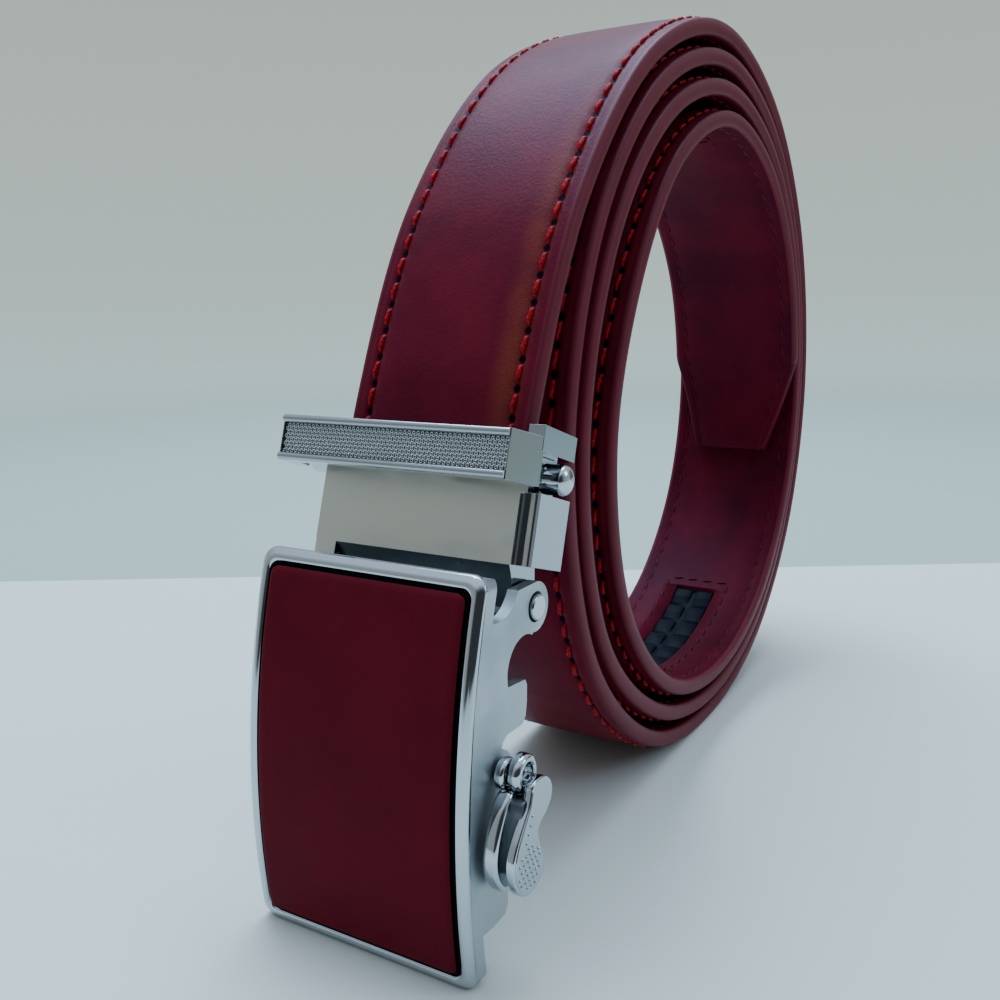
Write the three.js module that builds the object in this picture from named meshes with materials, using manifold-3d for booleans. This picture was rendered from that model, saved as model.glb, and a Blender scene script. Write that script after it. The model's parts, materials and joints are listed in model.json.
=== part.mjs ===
// Ratchet belt: a leather strap wound into a standing coil, with its automatic
// buckle hanging at the front of the coil. Millimetres, +Z up, X across the strap,
// -Y to the front. The origin is on the floor, under the centre of the coil.

import * as THREE from 'three';
import { mergeVertices } from 'three/addons/utils/BufferGeometryUtils.js';
import Module from 'manifold-3d';

const wasm = await Module();
wasm.setup();

// Driving dimensions, in millimetres and degrees.

// Strap
const strapWidth = 30;
const strapThickness = 3;
const strapEdge = 0.5; // chamfer along the strap's four long corners
const tipLength = 22; // length of the taper at the free end
const tipWidth = 17; // width of the blunt end

// Coil
const coilReach = 64.3; // centre of the coil to the outer face of its lowest turn
const floorPress = 0.3; // how much the leather is pressed flat where it stands
const layerGap = 1; // usual air gap between two turns
const sideDrift = 1.6; // how far the turns creep to the lever's side, from clamp to tip
const tipAngle = -18; // where the free end stops, at the back inside the coil

// Ratchet rack, let into the inner face near the free end
const rackTeeth = 34;
const rackStartAngle = -60.5; // on the third turn, low at the back
const rackWidth = 9.6;
const rackDepth = 1.6; // depth of its window in the leather
const rackBase = 0.5; // thickness of the strip under the teeth
const rackPitch = 6;
const rackTooth = { rise: 0.15, crest: 0.4, end: 0.95 }; // along a tooth, as shares of rackPitch
const rackGroove = 1.2; // groove between the two rows of teeth

// Buckle frame
const plateWidth = 36;
const plateLength = 54;
const plateBow = 3.2; // the front face bows outwards by this much
const plateLean = 5.2; // the plate's foot stands forward by this many degrees
const plateCorner = 2.2;
const rimDepth = 3.1;
const rimWidth = 2;
const recessDepth = 1.3;
const insertProud = 0.8; // the leather panel stands out of the rim by this much
const wallThickness = 1.6;
const hingeBelowTop = 6; // hinge axis below the plate's upper end
const hingeBack = 13; // hinge axis behind the plate's front chord
const earRadius = 3.4;
const hookRadius = 4.5; // round cut-out above the hook in each side wall
const hookBelowHinge = 7.7; // centre of that cut-out
const hookForward = 2.6;
const throatRadius = 5.1; // U-shaped gap between the rim and each ear
const throatAbove = 4.9;
const throatForward = 9.7;
const wallArcs = { hook: [200, 65], ear: [-100, 90], throat: [-22, -90] }; // degrees

// Clamp on the strap's fixed end, measured down from the top of the keeper's arms
const clampTilt = 18; // the strap runs down into the clamp at this lean
const clampLength = 18;
const clampWidth = 40;
const clampFront = 2.3; // front face in front of the strap's face
const clampRail = 3.6; // the rail beside the front face stands this far forward
const clampBack = 4.8; // side walls reach this far behind the strap's face
const clampGrip = 15; // length of strap held below the top
const clampTop = 2; // top of the front face and side walls
const neckThickness = 2; // right side wall between the keeper's arms
const sideThickness = 0.9; // left side wall
const grooveRadius = 1.3; // hollow groove between the front face and the rail on the right
const railLip = 0.4; // flat left on the rail's front beside the groove
const hollowRadius = 7; // round hollow across the knuckle's front, under the front face
const hollowDepth = 1.7;
const hollowRise = 0.4; // middle of the hollow above the hinge axis
const hollowStart = 12.5; // the hollow runs from here on the left to the right end
const hingeDrop = 5; // hinge axis below the clamp's lower end
const hingeInset = 3.1; // hinge axis behind the strap's outer face
const hingePinRadius = 1.8;
const hingePinGrip = 2; // length of each pin inside the knuckle
const hingeCap = 0.6; // how far the pin's end shows outside the ear

// Keeper bar and its arms
const keeperHeight = 6.4;
const keeperReach = 10.3; // front of the bar in front of the strap's face
const keeperBar = 2.1; // thickness of the bar
const keeperFaceWidth = 36.6;
const keeperDrop = 1.5; // top of the bar and of its left arm below the top of the right arm
const keeperArmHeight = 3.4; // right arm; the left one ends above the cross pin
const keeperArmReach = 4.5; // the arms reach this far before and behind the face
const keeperPanel = 0.4; // depth of the panel let into the bar's front
const keeperRim = 0.9; // height of the rims above and below that panel

// Cross pins at the clamp's sides
const crossPinRadius = 2.1;
const crossPinDown = 6.2;
const crossPinBack = 1.4;
const crossPinOut = 1.6; // how far a domed end stands out of the clamp's side

// Jaw behind the strap
const jawTop = 4.2;
const jawThickness = 1.1;
const jawTooth = 0.5;
const jawTeeth = 5;

// Pawl and release lever
const shaftBelowHinge = 19.8;
const shaftBack = 5;
const shaftRadius = 1;
const shaftBoss = 2.6;
const pawlSleeve = 1.9;
const pawlReach = 8;
const pawlWidth = 24;
const leverGap = 0.4;
const leverLeaf = 1.4; // thickness of each leaf of the lever
const leverWidth = 5;
const leverHub = 2.5;
const leverDrop = 11.2; // shaft to the middle of the round grip
const leverForward = 1.6;
const leverGrip = 4.1;
const leverWaist = 4.2;
const leverLobe = 2.8; // round upper lobe of the outer leaf

// Clearances
const clearance = 0.3;

// One turn of the coil, from the front over the top to the back and the bottom.
// reach is the outer face of the first turn as a share of coilReach. gap2, gap3
// and gap4 are the air gaps outside the second, third and fourth turns, as shares
// of layerGap.
const coilTable = [
  { angle: 180, reach: 1.229, gap2: 7.5, gap3: 1.0, gap4: 6.0 },
  { angle: 150, reach: 1.135, gap2: 2.7, gap3: 1.6, gap4: 6.9 },
  { angle: 120, reach: 1.107, gap2: 1.7, gap3: 1.9, gap4: 4.4 },
  { angle: 90, reach: 1.104, gap2: 2.0, gap3: 2.1, gap4: 2.1 },
  { angle: 60, reach: 1.073, gap2: 2.0, gap3: 1.6, gap4: 1.4 },
  { angle: 30, reach: 1.040, gap2: 2.4, gap3: 0.9, gap4: 1.0 },
  { angle: 0, reach: 1.022, gap2: 2.6, gap3: 0.8, gap4: 0.8 },
  { angle: -30, reach: 1.010, gap2: 2.2, gap3: 0.8, gap4: 0.8 },
  { angle: -60, reach: 1.0, gap2: 1.3, gap3: 1.0, gap4: 1.0 },
  { angle: -90, reach: 1.0, gap2: 0.9, gap3: 1.2, gap4: 1.0 },
  { angle: -120, reach: 1.050, gap2: 2.0, gap3: 2.2, gap4: 1.0 },
  { angle: -150, reach: 1.086, gap2: 1.2, gap3: 5.2, gap4: 1.0 },
];
const turnCount = 4;

// Back edge of the frame's side wall below the hook, from the foot upwards: back is
// a share of hingeBack, and up a share of the hinge's height.
const wallEdge = [
  { back: 0.32, up: 0.150 },
  { back: 0.55, up: 0.158 },
  { back: 0.61, up: 0.185 },
  { back: 0.44, up: 0.480 },
  { back: 0.37, up: 0.620 },
  { back: 0.40, up: 0.660 },
  { back: 0.48, up: 0.676 },
  { back: 0.78, up: 0.681 },
  { back: 0.85, up: 0.700 },
  { back: 0.87, up: 0.745 },
  { back: 0.86, up: 0.790 },
  { back: 0.82, up: 0.806 },
];

const radians = THREE.MathUtils.degToRad;

// Solids

function solid(geometry) {
  const bare = geometry.index ? geometry.toNonIndexed() : geometry.clone();
  bare.deleteAttribute('normal');
  bare.deleteAttribute('uv');
  const merged = mergeVertices(bare, 1e-4);
  return new wasm.Manifold(new wasm.Mesh({
    numProp: 3,
    vertProperties: new Float32Array(merged.attributes.position.array),
    triVerts: new Uint32Array(merged.index.array),
  }));
}

function geometryOf(manifold) {
  const mesh = manifold.getMesh();
  const geometry = new THREE.BufferGeometry();
  geometry.setAttribute('position', new THREE.BufferAttribute(mesh.vertProperties, 3));
  geometry.setIndex(new THREE.BufferAttribute(mesh.triVerts, 1));
  geometry.computeVertexNormals();
  return geometry;
}

function box([x0, x1], [y0, y1], [z0, z1]) {
  const geometry = new THREE.BoxGeometry(x1 - x0, y1 - y0, z1 - z0);
  geometry.translate((x0 + x1) / 2, (y0 + y1) / 2, (z0 + z1) / 2);
  return solid(geometry);
}

// A side outline, drawn in y and z, extruded across x.
function sideExtrude(shape, [x0, x1], curveSegments = 10) {
  const depth = x1 - x0;
  const geometry = new THREE.ExtrudeGeometry(shape, { depth, bevelEnabled: false, curveSegments });
  return geometry.applyMatrix4(new THREE.Matrix4().set(0, 0, 1, x0, 1, 0, 0, 0, 0, 1, 0, 0, 0, 0, 0, 1));
}

function sideSlab(shape, xs, curveSegments) {
  return solid(sideExtrude(shape, xs, curveSegments));
}

// A front outline, drawn in x and z, extruded along y.
function frontSlab(shape, [y0, y1]) {
  const options = { depth: y1 - y0, bevelEnabled: false, curveSegments: 5 };
  const geometry = new THREE.ExtrudeGeometry(shape, options);
  geometry.applyMatrix4(new THREE.Matrix4().set(1, 0, 0, 0, 0, 0, -1, y1, 0, 1, 0, 0, 0, 0, 0, 1));
  return solid(geometry);
}

// A plan outline, drawn in x and y, extruded along z.
function planSlab(shape, [z0, z1]) {
  const geometry = new THREE.ExtrudeGeometry(shape, { depth: z1 - z0, bevelEnabled: false });
  return solid(geometry.translate(0, 0, z0));
}

function crossRod(radius, [x0, x1], y, z, sides = 20) {
  const geometry = new THREE.CylinderGeometry(radius, radius, x1 - x0, sides);
  geometry.rotateZ(Math.PI / 2);
  return solid(geometry.translate((x0 + x1) / 2, y, z));
}

function polygon(points) {
  return new THREE.Shape(points.map(([u, v]) => new THREE.Vector2(u, v)));
}

function roundedRectangle(width, z0, z1, corner) {
  const half = width / 2;
  const quarter = Math.PI / 2;
  const shape = new THREE.Shape();
  shape.moveTo(-half + corner, z0);
  shape.absarc(half - corner, z0 + corner, corner, -quarter, 0, false);
  shape.absarc(half - corner, z1 - corner, corner, 0, quarter, false);
  shape.absarc(-half + corner, z1 - corner, corner, quarter, 2 * quarter, false);
  shape.absarc(-half + corner, z0 + corner, corner, 2 * quarter, 3 * quarter, false);
  return shape;
}

function union(list) {
  return list.reduce((joined, next) => joined.add(next));
}

// The same span across x, on the right (side 1) or the left (side -1).
function span(side, inner, outer) {
  return side > 0 ? [inner, outer] : [-outer, -inner];
}

// Where the frame and the clamp stand

const coilHeight = coilReach - floorPress;
const lean = radians(plateLean);
const tilt = radians(clampTilt);
const startRadius = coilReach * coilTable[0].reach;

const hingeUp = plateLength - hingeBelowTop;
const hingeHeight = hingeUp * Math.cos(lean) - hingeBack * Math.sin(lean);
const hingeDown = clampLength + hingeDrop;
const clampZ = hingeHeight + hingeDown * Math.cos(tilt) + hingeInset * Math.sin(tilt);
const clampY = -Math.sqrt(startRadius ** 2 - (clampZ - coilHeight) ** 2);
const hingeY = clampY - hingeDown * Math.sin(tilt) + hingeInset * Math.cos(tilt);
const footY = hingeY - hingeUp * Math.sin(lean) - hingeBack * Math.cos(lean);

// The clamp's own axes: y behind the strap's outer face, z up along the strap.
function fromClamp(y, z) {
  return new THREE.Vector3(
    0,
    clampY + y * Math.cos(tilt) + z * Math.sin(tilt),
    clampZ - y * Math.sin(tilt) + z * Math.cos(tilt),
  );
}

// The strap's path

const rowStep = 360 / coilTable.length;

function rowRadius(turn, row) {
  const { reach, gap2, gap3, gap4 } = coilTable[row];
  const gaps = [gap2, gap3, gap4].slice(0, turn);
  return coilReach * reach - gaps.reduce((sum, gap) => sum + gap * layerGap + strapThickness, 0);
}

function onTurn(turn, angle) {
  const place = (180 - angle) / rowStep;
  const row = Math.min(Math.floor(place), coilTable.length - 1);
  const here = rowRadius(turn, row);
  const next = row + 1 < coilTable.length ? rowRadius(turn, row + 1) : rowRadius(turn + 1, 0);
  const radius = here + (next - here) * (place - row) - strapThickness / 2;
  return new THREE.Vector3(
    0,
    radius * Math.cos(radians(angle)),
    coilHeight + radius * Math.sin(radians(angle)),
  );
}

function pathPoints() {
  const points = [-clampGrip, -clampGrip / 2, clampFront].map((z) => fromClamp(strapThickness / 2, z));
  for (let turn = 0; turn < turnCount; turn += 1) {
    const rows = coilTable.slice(turn === 0 ? 1 : 0);
    const kept = rows.filter(({ angle }) => turn < turnCount - 1 || angle > tipAngle);
    points.push(...kept.map(({ angle }) => onTurn(turn, angle)));
  }
  points.push(onTurn(turnCount - 1, tipAngle));
  return points;
}

const strapPath = new THREE.CatmullRomCurve3(pathPoints());
strapPath.arcLengthDivisions = 2400;
const strapLength = strapPath.getLength();

// Lays a flat strip of the strap on its path. In the strip x runs across to the left,
// y from the strap's middle towards its outer face, and z along it from the clamp.
function roll(geometry) {
  const position = geometry.attributes.position;
  for (let i = 0; i < position.count; i += 1) {
    const along = THREE.MathUtils.clamp(position.getZ(i) / strapLength, 0, 1);
    const middle = strapPath.getPointAt(along);
    const way = strapPath.getTangentAt(along);
    const out = position.getY(i);
    const across = -position.getX(i) + sideDrift * Math.max(0, along - clampGrip / strapLength);
    position.setXYZ(i, across, middle.y - way.z * out, middle.z + way.y * out);
  }
  return geometry;
}

// Length along the strap at which it passes an angle of one turn.
function stationOf(turn, angle) {
  const target = onTurn(turn, angle);
  const tries = 4000;
  let best = 0;
  let nearest = Infinity;
  for (let i = 0; i <= tries; i += 1) {
    const distance = strapPath.getPointAt(i / tries).distanceTo(target);
    if (distance < nearest) [best, nearest] = [i, distance];
  }
  return (best / tries) * strapLength;
}

// Strap

const outerFace = strapThickness / 2;
const innerFace = -outerFace;
const rackStart = stationOf(2, rackStartAngle);
const rackFloor = innerFace + rackDepth;
const rackLength = rackTeeth * rackPitch;
const rollSteps = 8; // length of one flat facet along the strap

function strapSection() {
  const half = strapWidth / 2;
  return polygon([
    [-half + strapEdge, innerFace], [half - strapEdge, innerFace],
    [half, innerFace + strapEdge], [half, outerFace - strapEdge],
    [half - strapEdge, outerFace], [-half + strapEdge, outerFace],
    [-half, outerFace - strapEdge], [-half, innerFace + strapEdge],
  ]);
}

function strip([x0, x1], [y0, y1], [z0, z1]) {
  const parts = Math.ceil((z1 - z0) / rollSteps);
  const geometry = new THREE.BoxGeometry(x1 - x0, y1 - y0, z1 - z0, 1, 1, parts);
  geometry.translate((x0 + x1) / 2, (y0 + y1) / 2, (z0 + z1) / 2);
  return solid(roll(geometry));
}

function strap() {
  const steps = Math.round(strapLength / rollSteps);
  const options = { depth: strapLength, steps, bevelEnabled: false };
  const geometry = new THREE.ExtrudeGeometry(strapSection(), options);
  const position = geometry.attributes.position;
  for (let i = 0; i < position.count; i += 1) {
    const taper = Math.max(0, (position.getZ(i) - strapLength + tipLength) / tipLength);
    position.setX(i, position.getX(i) * (1 - taper * (1 - tipWidth / strapWidth)));
  }
  const reach = 2 * startRadius;
  const floor = box([-reach, reach], [-reach, reach], [-reach, 0]);
  const half = rackWidth / 2;
  const windowSpan = [rackStart - clearance, rackStart + rackLength + clearance];
  const window = strip([-half, half], [innerFace - rackDepth, rackFloor], windowSpan);
  return solid(roll(geometry)).subtract(floor).subtract(window);
}

// Two rows of saw teeth on a strip, with a groove between them.
function rack() {
  const half = rackWidth / 2 - clearance;
  const back = rackFloor - clearance;
  const root = back - rackBase;
  const tip = innerFace + clearance;
  const ends = [rackStart, rackStart + rackLength];
  const { rise, crest, end } = rackTooth;
  const tooth = polygon([
    [back - rackBase / 2, 0], [root, 0], [tip, rise * rackPitch], [tip, crest * rackPitch],
    [root, end * rackPitch], [back - rackBase / 2, end * rackPitch],
  ]);
  const teeth = [];
  for (let i = 0; i < rackTeeth; i += 1) {
    const blank = sideExtrude(tooth, [-half, half]);
    teeth.push(solid(roll(blank.translate(0, 0, rackStart + i * rackPitch))));
  }
  const groove = strip([-rackGroove / 2, rackGroove / 2], [innerFace, root], ends);
  return union([strip([-half, half], [root, back], ends), ...teeth]).subtract(groove);
}

// Buckle frame, in its own axes: y behind the plate's front chord, z up from its foot

const bowRadius = (plateLength ** 2 / 4 + plateBow ** 2) / (2 * plateBow);
const bowCentre = bowRadius - plateBow;
const bowHalf = Math.asin(plateLength / 2 / bowRadius);
const wallInside = plateWidth / 2 - wallThickness;
const shaftUp = hingeUp - shaftBelowHinge;

// The layer of the bowed plate between two depths behind its front face.
function bowedLayer(front, back) {
  const shape = new THREE.Shape();
  const middle = plateLength / 2;
  shape.absarc(bowCentre, middle, bowRadius - front, Math.PI + bowHalf, Math.PI - bowHalf, true);
  shape.absarc(bowCentre, middle, bowRadius - back, Math.PI - bowHalf, Math.PI + bowHalf, false);
  return shape;
}

function bowedDepth(depth, z) {
  return bowCentre - Math.sqrt((bowRadius - depth) ** 2 - (z - plateLength / 2) ** 2);
}

function panel(inset, front, back) {
  const reach = rimDepth + plateBow + insertProud;
  const corner = Math.max(plateCorner - inset / 2, 0.4);
  const outline = roundedRectangle(plateWidth - 2 * inset, inset, plateLength - inset, corner);
  const layer = sideSlab(bowedLayer(front, back), [-plateWidth, plateWidth], 16);
  return layer.intersect(frontSlab(outline, [-reach, reach]));
}

function sideWall(side) {
  const low = wallEdge[0].up * hingeUp;
  const throatY = hingeBack - throatForward;
  const throatZ = hingeUp + throatAbove;
  const hookY = hingeBack - hookForward;
  const hookZ = hingeUp - hookBelowHinge;
  const throatLow = throatZ - throatRadius;
  const shape = new THREE.Shape();
  wallEdge.forEach(({ back, up }, i) => {
    const point = [back * hingeBack, up * hingeUp];
    if (i === 0) shape.moveTo(...point);
    else shape.lineTo(...point);
  });
  shape.absarc(hookY, hookZ, hookRadius, ...wallArcs.hook.map(radians), true);
  shape.absarc(hingeBack, hingeUp, earRadius, ...wallArcs.ear.map(radians), false);
  shape.absarc(throatY, throatZ, throatRadius, ...wallArcs.throat.map(radians), true);
  const rises = 6;
  for (let i = 0; i <= rises; i += 1) {
    const z = throatLow + ((low - throatLow) * i) / rises;
    shape.lineTo(bowedDepth(rimDepth / 2, z), z);
  }
  const xs = span(side, wallInside, plateWidth / 2);
  const boss = crossRod(shaftBoss, xs, shaftBack, shaftUp, 24);
  return sideSlab(shape, xs, 8).add(boss);
}

function frame() {
  const plate = panel(0, 0, rimDepth).subtract(panel(rimWidth, -plateBow, recessDepth));
  const through = [-plateWidth, plateWidth];
  return union([plate, sideWall(1), sideWall(-1)])
    .subtract(crossRod(hingePinRadius + clearance, through, hingeBack, hingeUp))
    .subtract(shaftHole());
}

function insert() {
  return panel(rimWidth + clearance, -insertProud, recessDepth - clearance);
}

// Pawl and release lever, in the frame's axes

const leverStart = plateWidth / 2 + leverGap;
const leverEnd = leverStart + leverWidth;

function shaft() {
  const ends = [-plateWidth / 2 - hingeCap, leverEnd + hingeCap / 2];
  return crossRod(shaftRadius, ends, shaftBack, shaftUp, 16);
}

function shaftHole() {
  return crossRod(shaftRadius + clearance, [-plateWidth, plateWidth], shaftBack, shaftUp, 16);
}

function pawl() {
  const half = wallInside - clearance;
  const tipZ = shaftUp - pawlReach;
  const tipY = bowedDepth(rimDepth, tipZ) + 2 * clearance;
  const arm = polygon([
    [shaftBack - pawlSleeve, shaftUp], [tipY, tipZ], [tipY + shaftRadius, tipZ - shaftRadius / 2],
    [shaftBack + shaftRadius, shaftUp - pawlSleeve], [shaftBack + pawlSleeve, shaftUp],
  ]);
  return crossRod(pawlSleeve, [-half, half], shaftBack, shaftUp)
    .add(sideSlab(arm, [-pawlWidth / 2, pawlWidth / 2]))
    .subtract(shaftHole());
}

function lever() {
  const gripY = shaftBack - leverForward;
  const gripZ = shaftUp - leverDrop;
  const inner = [leverStart, leverStart + leverLeaf];
  const outer = [leverEnd - leverLeaf, leverEnd];
  const waist = polygon([
    [gripY - leverWaist / 2, gripZ], [gripY + leverWaist / 2, gripZ],
    [shaftBack + leverWaist / 2, shaftUp], [shaftBack - leverWaist / 2, shaftUp],
  ]);
  const web = polygon([
    [gripY, gripZ - leverGrip / 2], [gripY + leverGrip / 2, gripZ - leverGrip / 2],
    [shaftBack + leverHub / 2, shaftUp], [shaftBack - leverHub / 4, shaftUp],
  ]);
  const leaves = [inner, outer].flatMap((xs) => [
    crossRod(leverGrip, xs, gripY, gripZ, 28),
    sideSlab(waist, xs),
  ]);
  const lobe = crossRod(leverLobe, outer, shaftBack + leverLobe / 2, shaftUp - leverHub / 2, 24);
  const hub = crossRod(leverHub, [leverStart, leverEnd], shaftBack, shaftUp, 24);
  return union([...leaves, lobe, hub, sideSlab(web, [leverStart, leverEnd])]).subtract(shaftHole());
}

// Clamp, in its own axes

const neckInside = strapWidth / 2 + clearance;
const neckOutside = neckInside + neckThickness;
const leftOutside = neckInside + sideThickness;
const strapBack = strapThickness + clearance;
const railTop = crossPinDown + crossPinRadius + clearance; // the clamp is wider below this

function rail() {
  const faceEdge = clampWidth / 2 - railLip - 2 * grooveRadius;
  const block = box([neckInside, clampWidth / 2], [-clampRail, clampBack], [-clampLength, -railTop]);
  const groove = planSlab(
    new THREE.Shape().absarc(faceEdge + grooveRadius, -clampRail, grooveRadius, 0, 2 * Math.PI),
    [-clampLength - 1, 0],
  );
  const face = box([0, faceEdge], [-clampRail - 1, -clampFront], [-clampLength - 1, 0]);
  return block.subtract(groove).subtract(face);
}

// The hinge knuckle under the grip, between the frame's two walls. The hollow in its
// front clears the plate's upper edge.
function knuckle() {
  const half = wallInside - clearance;
  const axisZ = -hingeDown;
  const radius = earRadius - clearance;
  const web = polygon([
    [hingeInset, axisZ - radius], [hingeInset + radius, axisZ],
    [clampBack, -clampLength], [clampBack, 1 - clampLength],
    [-clampFront, 1 - clampLength], [-clampFront, axisZ + hollowRise],
  ]);
  const hollow = crossRod(
    hollowRadius, [-hollowStart, plateWidth],
    hollowDepth - clampFront - hollowRadius, axisZ + hollowRise, 48,
  );
  return sideSlab(web, [-half, half])
    .add(crossRod(radius, [-half, half], hingeInset, axisZ, 24))
    .subtract(hollow)
    .subtract(crossRod(hingePinRadius + clearance, [-plateWidth, plateWidth], hingeInset, axisZ));
}

function clampBody() {
  const deep = [-clampFront, clampBack];
  const across = [-leftOutside, neckOutside];
  const walls = [[neckInside, neckOutside], [-leftOutside, -neckInside]]
    .map((xs) => box(xs, deep, [-clampLength, -clampTop]));
  const front = box(across, [-clampFront, -clearance], [-clampLength, -clampTop]);
  const base = box(across, deep, [-clampLength, -clampGrip - clearance]);
  const pinHoles = crossRod(
    crossPinRadius / 2 + clearance, [-clampWidth, clampWidth], crossPinBack, -crossPinDown,
  );
  const strapSpace = box([-neckInside, neckInside], [-clearance, strapBack], [-clampGrip - clearance, 0]);
  return union([...walls, front, base, rail(), knuckle()])
    .subtract(pinHoles)
    .subtract(strapSpace);
}

// A cross pin: a thin shank in the side wall, and a thick domed end outside it.
function crossPin(side) {
  const out = clampWidth / 2 + crossPinOut;
  const dome = crossPinRadius / 2;
  const start = (side > 0 ? neckOutside : leftOutside) + clearance;
  const profile = [[0, start], [crossPinRadius, start], [crossPinRadius, out - dome]];
  const arcs = 4;
  for (let i = 1; i <= arcs; i += 1) {
    const turn = (i / arcs) * (Math.PI / 2);
    profile.push([crossPinRadius * Math.cos(turn), out - dome + dome * Math.sin(turn)]);
  }
  profile.at(-1)[0] = 0;
  const geometry = new THREE.LatheGeometry(profile.map(([r, x]) => new THREE.Vector2(r, x)), 20);
  geometry.rotateZ(-side * Math.PI / 2);
  geometry.translate(0, crossPinBack, -crossPinDown);
  const shank = crossRod(
    crossPinRadius / 2, span(side, neckInside + clearance, start + 1), crossPinBack, -crossPinDown,
  );
  return solid(geometry).add(shank);
}

function hingePin(side) {
  const inner = wallInside - clearance - hingePinGrip;
  return crossRod(hingePinRadius, span(side, inner, plateWidth / 2 + hingeCap), hingeInset, -hingeDown);
}

function keeper() {
  const top = -keeperDrop;
  const bottom = top - keeperHeight;
  const half = keeperFaceWidth / 2;
  const outside = clampWidth / 2;
  const inside = neckOutside + clearance;
  const plan = polygon([
    [-half, -keeperReach], [half, -keeperReach], [outside, -keeperArmReach], [inside, -keeperArmReach],
    [half - keeperBar, keeperBar - keeperReach], [-half + keeperBar, keeperBar - keeperReach],
    [-inside, -keeperArmReach], [-outside, -keeperArmReach],
  ]);
  const panelCut = box(
    [-half + keeperRim, half - keeperRim],
    [-keeperReach - 1, -keeperReach + keeperPanel],
    [bottom + keeperRim, top - keeperRim],
  );
  const deep = [-keeperArmReach - clearance, keeperArmReach];
  const rightArm = box([inside, outside], deep, [-keeperArmHeight, 0]);
  const leftArm = box([-outside, -inside], deep, [crossPinRadius + clearance - crossPinDown, top]);
  return union([planSlab(plan, [bottom, top]).subtract(panelCut), rightArm, leftArm]);
}

function jaw() {
  const half = neckInside - clearance;
  const low = -clampGrip;
  const high = -jawTop;
  const pitch = (high - low) / jawTeeth;
  const face = strapBack + jawTooth;
  const points = [[face + jawThickness, low]];
  points.push([face + jawThickness, high], [face, high]);
  for (let i = jawTeeth; i > 0; i -= 1) {
    points.push([strapBack, low + (i - 0.5) * pitch], [face, low + (i - 1) * pitch]);
  }
  return sideSlab(polygon(points), [-half, half]);
}

// Finishes

const chrome = new THREE.MeshStandardMaterial({ color: '#b9c4cc', roughness: 0.12, metalness: 1 });
const brushedSteel = new THREE.MeshStandardMaterial({ color: '#a3a196', roughness: 0.4, metalness: 1 });
const strapLeather = new THREE.MeshStandardMaterial({ color: '#5c1426', roughness: 0.42, metalness: 0 });
const panelLeather = new THREE.MeshStandardMaterial({ color: '#45091a', roughness: 0.6, metalness: 0 });
const rackPlastic = new THREE.MeshStandardMaterial({ color: '#20242f', roughness: 0.35, metalness: 0 });

// Assembly

function place(name, shape, material, parent) {
  const mesh = new THREE.Mesh(geometryOf(shape), material);
  mesh.name = name;
  parent.add(mesh);
}

const group = new THREE.Group();
const clampGroup = new THREE.Group();
const frameGroup = new THREE.Group();
clampGroup.position.set(0, clampY, clampZ);
clampGroup.rotation.x = -tilt;
frameGroup.position.set(0, footY, 0);
frameGroup.rotation.x = -lean;
group.add(clampGroup, frameGroup);

place('strap', strap(), strapLeather, group);
place('ratchet_rack', rack(), rackPlastic, group);
place('clamp_body', clampBody(), chrome, clampGroup);
place('clamp_jaw', jaw(), brushedSteel, clampGroup);
place('keeper_bar', keeper(), chrome, clampGroup);
place('cross_pin_right', crossPin(1), chrome, clampGroup);
place('cross_pin_left', crossPin(-1), chrome, clampGroup);
place('hinge_pin_right', hingePin(1), chrome, clampGroup);
place('hinge_pin_left', hingePin(-1), chrome, clampGroup);
place('buckle_frame', frame(), chrome, frameGroup);
place('buckle_insert', insert(), panelLeather, frameGroup);
place('pawl_shaft', shaft(), brushedSteel, frameGroup);
place('pawl', pawl(), brushedSteel, frameGroup);
place('release_lever', lever(), chrome, frameGroup);

export default group;
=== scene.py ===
"""Dresses the ratchet belt: a wine-red leather strap wound into a coil, and its chromed automatic buckle."""

import json
import logging
import math
from bisect import bisect_right
from dataclasses import dataclass, field
from enum import Enum
from typing import Callable, Iterable

import bmesh
import bpy
from mathutils import Matrix, Vector


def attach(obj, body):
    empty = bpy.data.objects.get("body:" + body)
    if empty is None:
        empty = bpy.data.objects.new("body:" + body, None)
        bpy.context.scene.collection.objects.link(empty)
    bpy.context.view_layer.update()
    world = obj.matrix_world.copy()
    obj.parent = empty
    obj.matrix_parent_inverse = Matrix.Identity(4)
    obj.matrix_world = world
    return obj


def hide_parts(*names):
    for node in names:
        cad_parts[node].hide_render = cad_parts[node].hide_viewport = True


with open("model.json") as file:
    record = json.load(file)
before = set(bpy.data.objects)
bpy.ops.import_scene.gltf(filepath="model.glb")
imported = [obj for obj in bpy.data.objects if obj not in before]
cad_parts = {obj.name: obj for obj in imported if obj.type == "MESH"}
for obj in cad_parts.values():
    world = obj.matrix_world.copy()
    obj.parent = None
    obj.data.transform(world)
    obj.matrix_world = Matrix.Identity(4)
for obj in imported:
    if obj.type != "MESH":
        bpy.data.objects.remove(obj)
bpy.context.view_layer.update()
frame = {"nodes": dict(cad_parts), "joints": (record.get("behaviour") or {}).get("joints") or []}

MM = 0.001
LOG = logging.getLogger("belt")


class Body(Enum):
    """The rigid bodies of the belt."""

    BELT = "belt"
    FRAME = "frame"
    RELEASE = "release"


class Slot(Enum):
    """The finishes that the record lists."""

    STRAP = "strap_leather"
    PANEL = "panel_leather"
    RACK = "rack_plastic"
    CHROME = "chrome"
    STEEL = "brushed_steel"


class StrapFace(Enum):
    """The faces of the strap, as places in its list of materials."""

    OUTER = 0
    EDGE = 1
    LINING = 2


# Colour and nodes


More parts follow.
